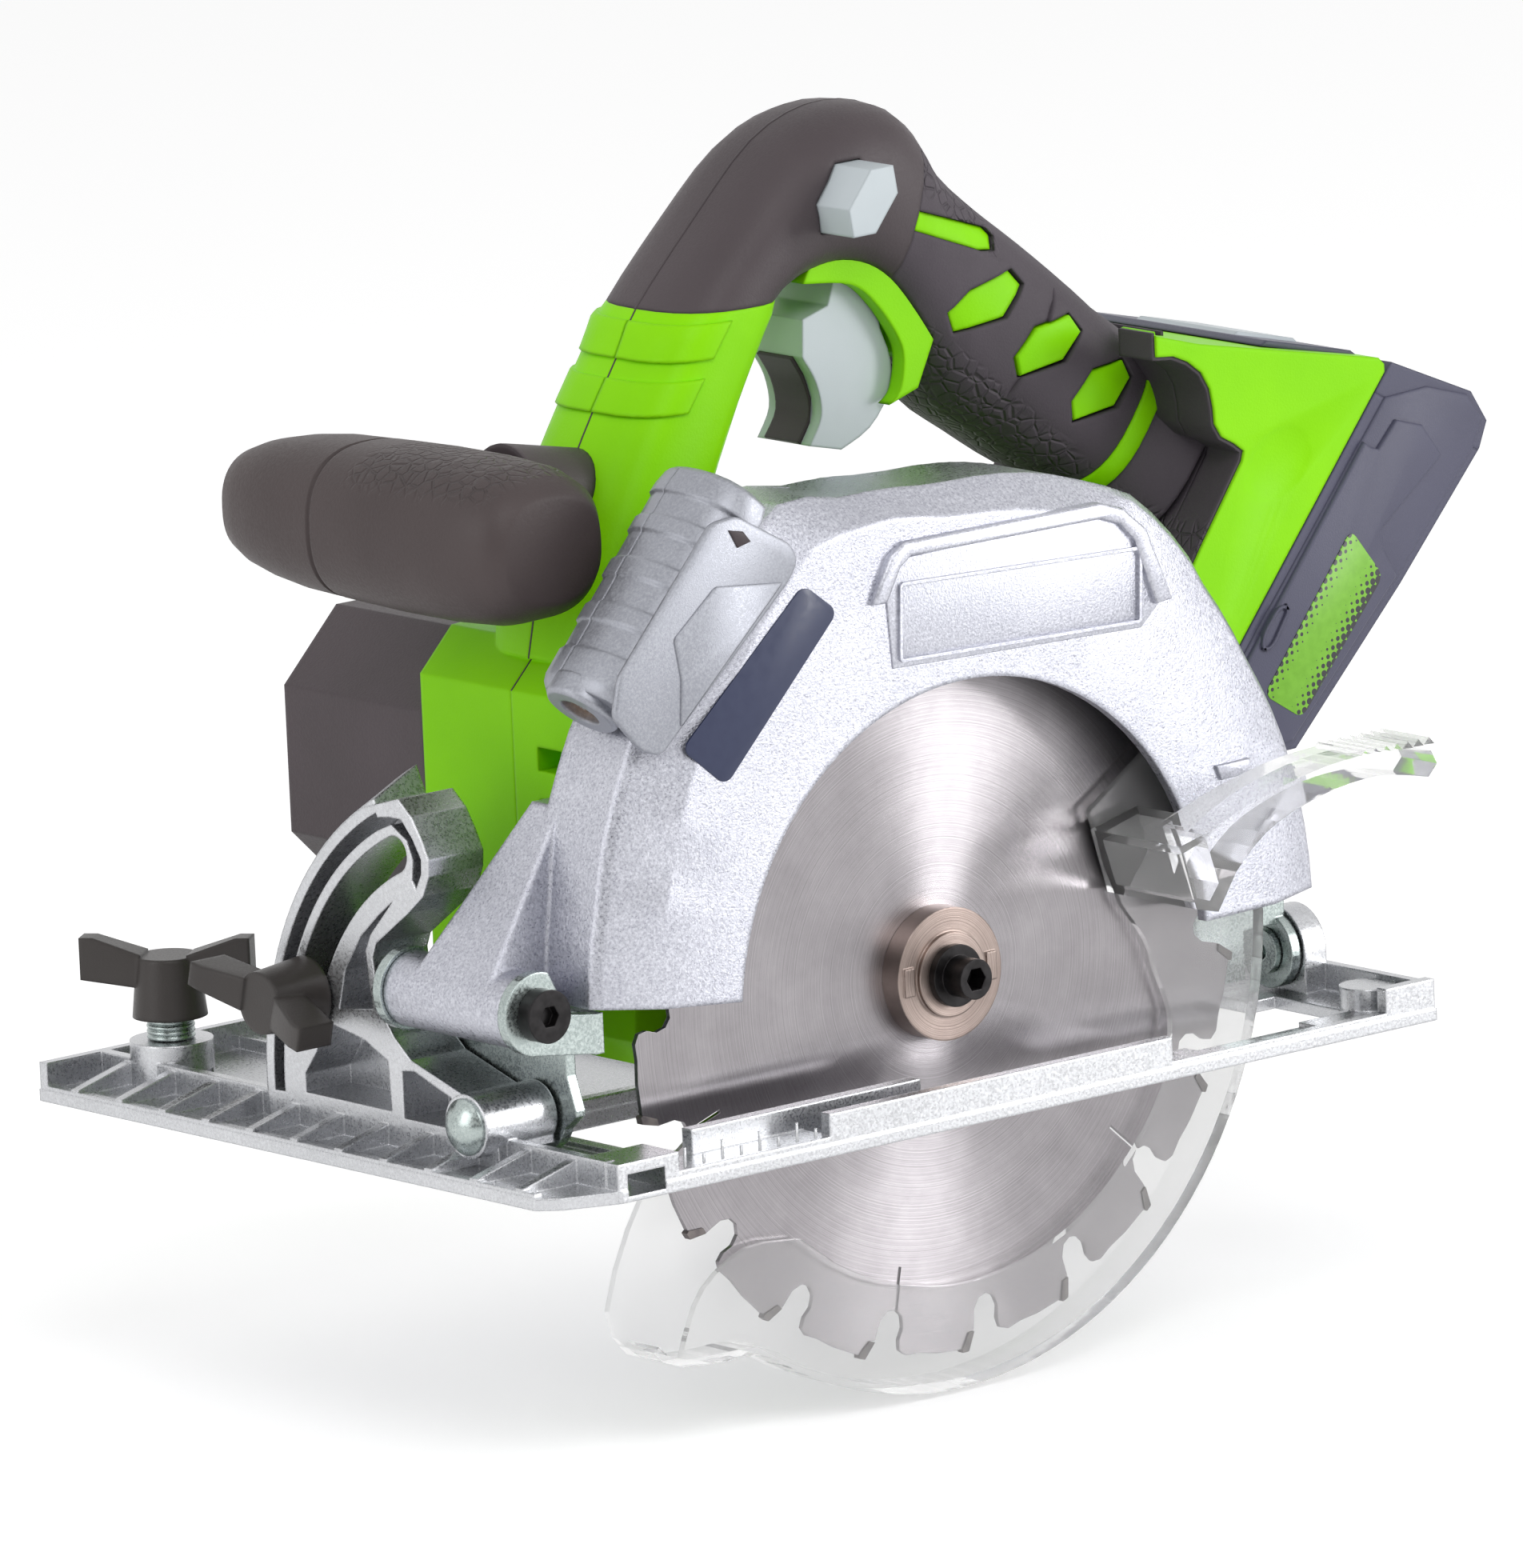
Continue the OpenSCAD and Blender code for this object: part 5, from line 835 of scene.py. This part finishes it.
def seenBy(tree, kinds):
    # 1 for these kinds of ray, 0 for the rest
    path = addNode(tree, "ShaderNodeLightPath")
    seen = path.outputs[kinds[0]]
    for kind in kinds[1:]:
        seen = addNode(tree, "ShaderNodeMath", {0: seen, 1: path.outputs[kind]}, operation="MAXIMUM").outputs["Value"]
    return seen


bm = bmesh.new()
bmesh.ops.create_grid(bm, x_segments=1, y_segments=1, size=stageLook["floorSize"],
                      matrix=Matrix.Translation((0, 0, stageLook["floorZ"])))
floorMesh = bpy.data.meshes.new("studioFloor")
bm.to_mesh(floorMesh)
bm.free()
floor = bpy.data.objects.new("studioFloor", floorMesh)
bpy.context.scene.collection.objects.link(floor)
material, tree = startMaterial("paleFloor")
seen = seenBy(tree, ["Is Camera Ray", "Is Transmission Ray", "Is Glossy Ray"])
matt = addNode(tree, "ShaderNodeBsdfDiffuse", {"Color": linear(stageLook["floorColour"])})
glow = addNode(tree, "ShaderNodeEmission", {"Color": (1, 1, 1, 1), "Strength": stageLook["floorGlow"]})
lifted = addNode(tree, "ShaderNodeAddShader", {0: matt.outputs["BSDF"], 1: glow.outputs["Emission"]})
mixed = addNode(tree, "ShaderNodeMixShader", {0: seen, 1: matt.outputs["BSDF"], 2: lifted.outputs["Shader"]})
addNode(tree, "ShaderNodeOutputMaterial", {"Surface": mixed.outputs["Shader"]})
floorMesh.materials.append(material)

world = bpy.data.worlds.new("studio")
bpy.context.scene.world = world
world.use_nodes = True
tree = world.node_tree
tree.nodes.clear()
strength = addNode(tree, "ShaderNodeMapRange", {
    "Value": seenBy(tree, ["Is Camera Ray", "Is Transmission Ray", "Is Glossy Ray"]), "To Min": stageLook["world"],
    "To Max": 1.0})
# A dark card at the front left gives the cast metal its depth; the camera and clear parts see past it
around = addNode(tree, "ShaderNodeTexCoord")
facing = addNode(tree, "ShaderNodeVectorMath", {0: around.outputs["Generated"], 1: stageLook["cardAt"]},
                 operation="DOT_PRODUCT")
card = addNode(tree, "ShaderNodeMapRange", {"Value": facing.outputs["Value"], "From Min": stageLook["cardFrom"],
               "From Max": stageLook["cardTo"], "To Min": 1.0, "To Max": stageLook["card"]},
               interpolation_type="SMOOTHSTEP")
carded = addNode(tree, "ShaderNodeMath", {0: card.outputs["Result"],
                 1: seenBy(tree, ["Is Camera Ray", "Is Transmission Ray"])}, operation="MAXIMUM")
level = addNode(tree, "ShaderNodeMath", {0: strength.outputs["Result"], 1: carded.outputs["Value"]},
                operation="MULTIPLY")
sky = addNode(tree, "ShaderNodeBackground", {"Color": (1, 1, 1, 1), "Strength": level.outputs["Value"]})
addNode(tree, "ShaderNodeOutputWorld", {"Surface": sky.outputs["Background"]})

for name, look in stageLook["lamps"].items():
    lamp = bpy.data.lights.new(name, "AREA")
    lamp.shape = "RECTANGLE"
    lamp.size, lamp.size_y = look["size"]
    lamp.energy = look["power"]
    holder = bpy.data.objects.new(name, lamp)
    holder.location = look["at"]
    holder.rotation_euler = (Vector(stageLook["aim"]) - Vector(look["at"])).to_track_quat("-Z", "Y").to_euler()
    bpy.context.scene.collection.objects.link(holder)

# Rows of turn are the camera's right, up and back directions
cameraLook = {"lens": 440.8, "sensor": 36, "at": (-2.5177, -3.0061, 0.8623),
              "turn": ((0.76575, -0.64165, -0.04376), (0.16039, 0.12463, 0.97915), (-0.62282, -0.75680, 0.19836))}
camera = bpy.data.cameras.new("camera")
camera.lens = cameraLook["lens"]
camera.sensor_width = cameraLook["sensor"]
camera.clip_start = 0.1
camera.clip_end = 30
holder = bpy.data.objects.new("camera", camera)
holder.matrix_world = (Matrix.Translation(cameraLook["at"]) @
                       Matrix(cameraLook["turn"]).transposed().to_4x4())
bpy.context.scene.collection.objects.link(holder)
bpy.context.scene.camera = holder
bpy.context.scene.view_settings.view_transform = "Standard"
print("stage set")
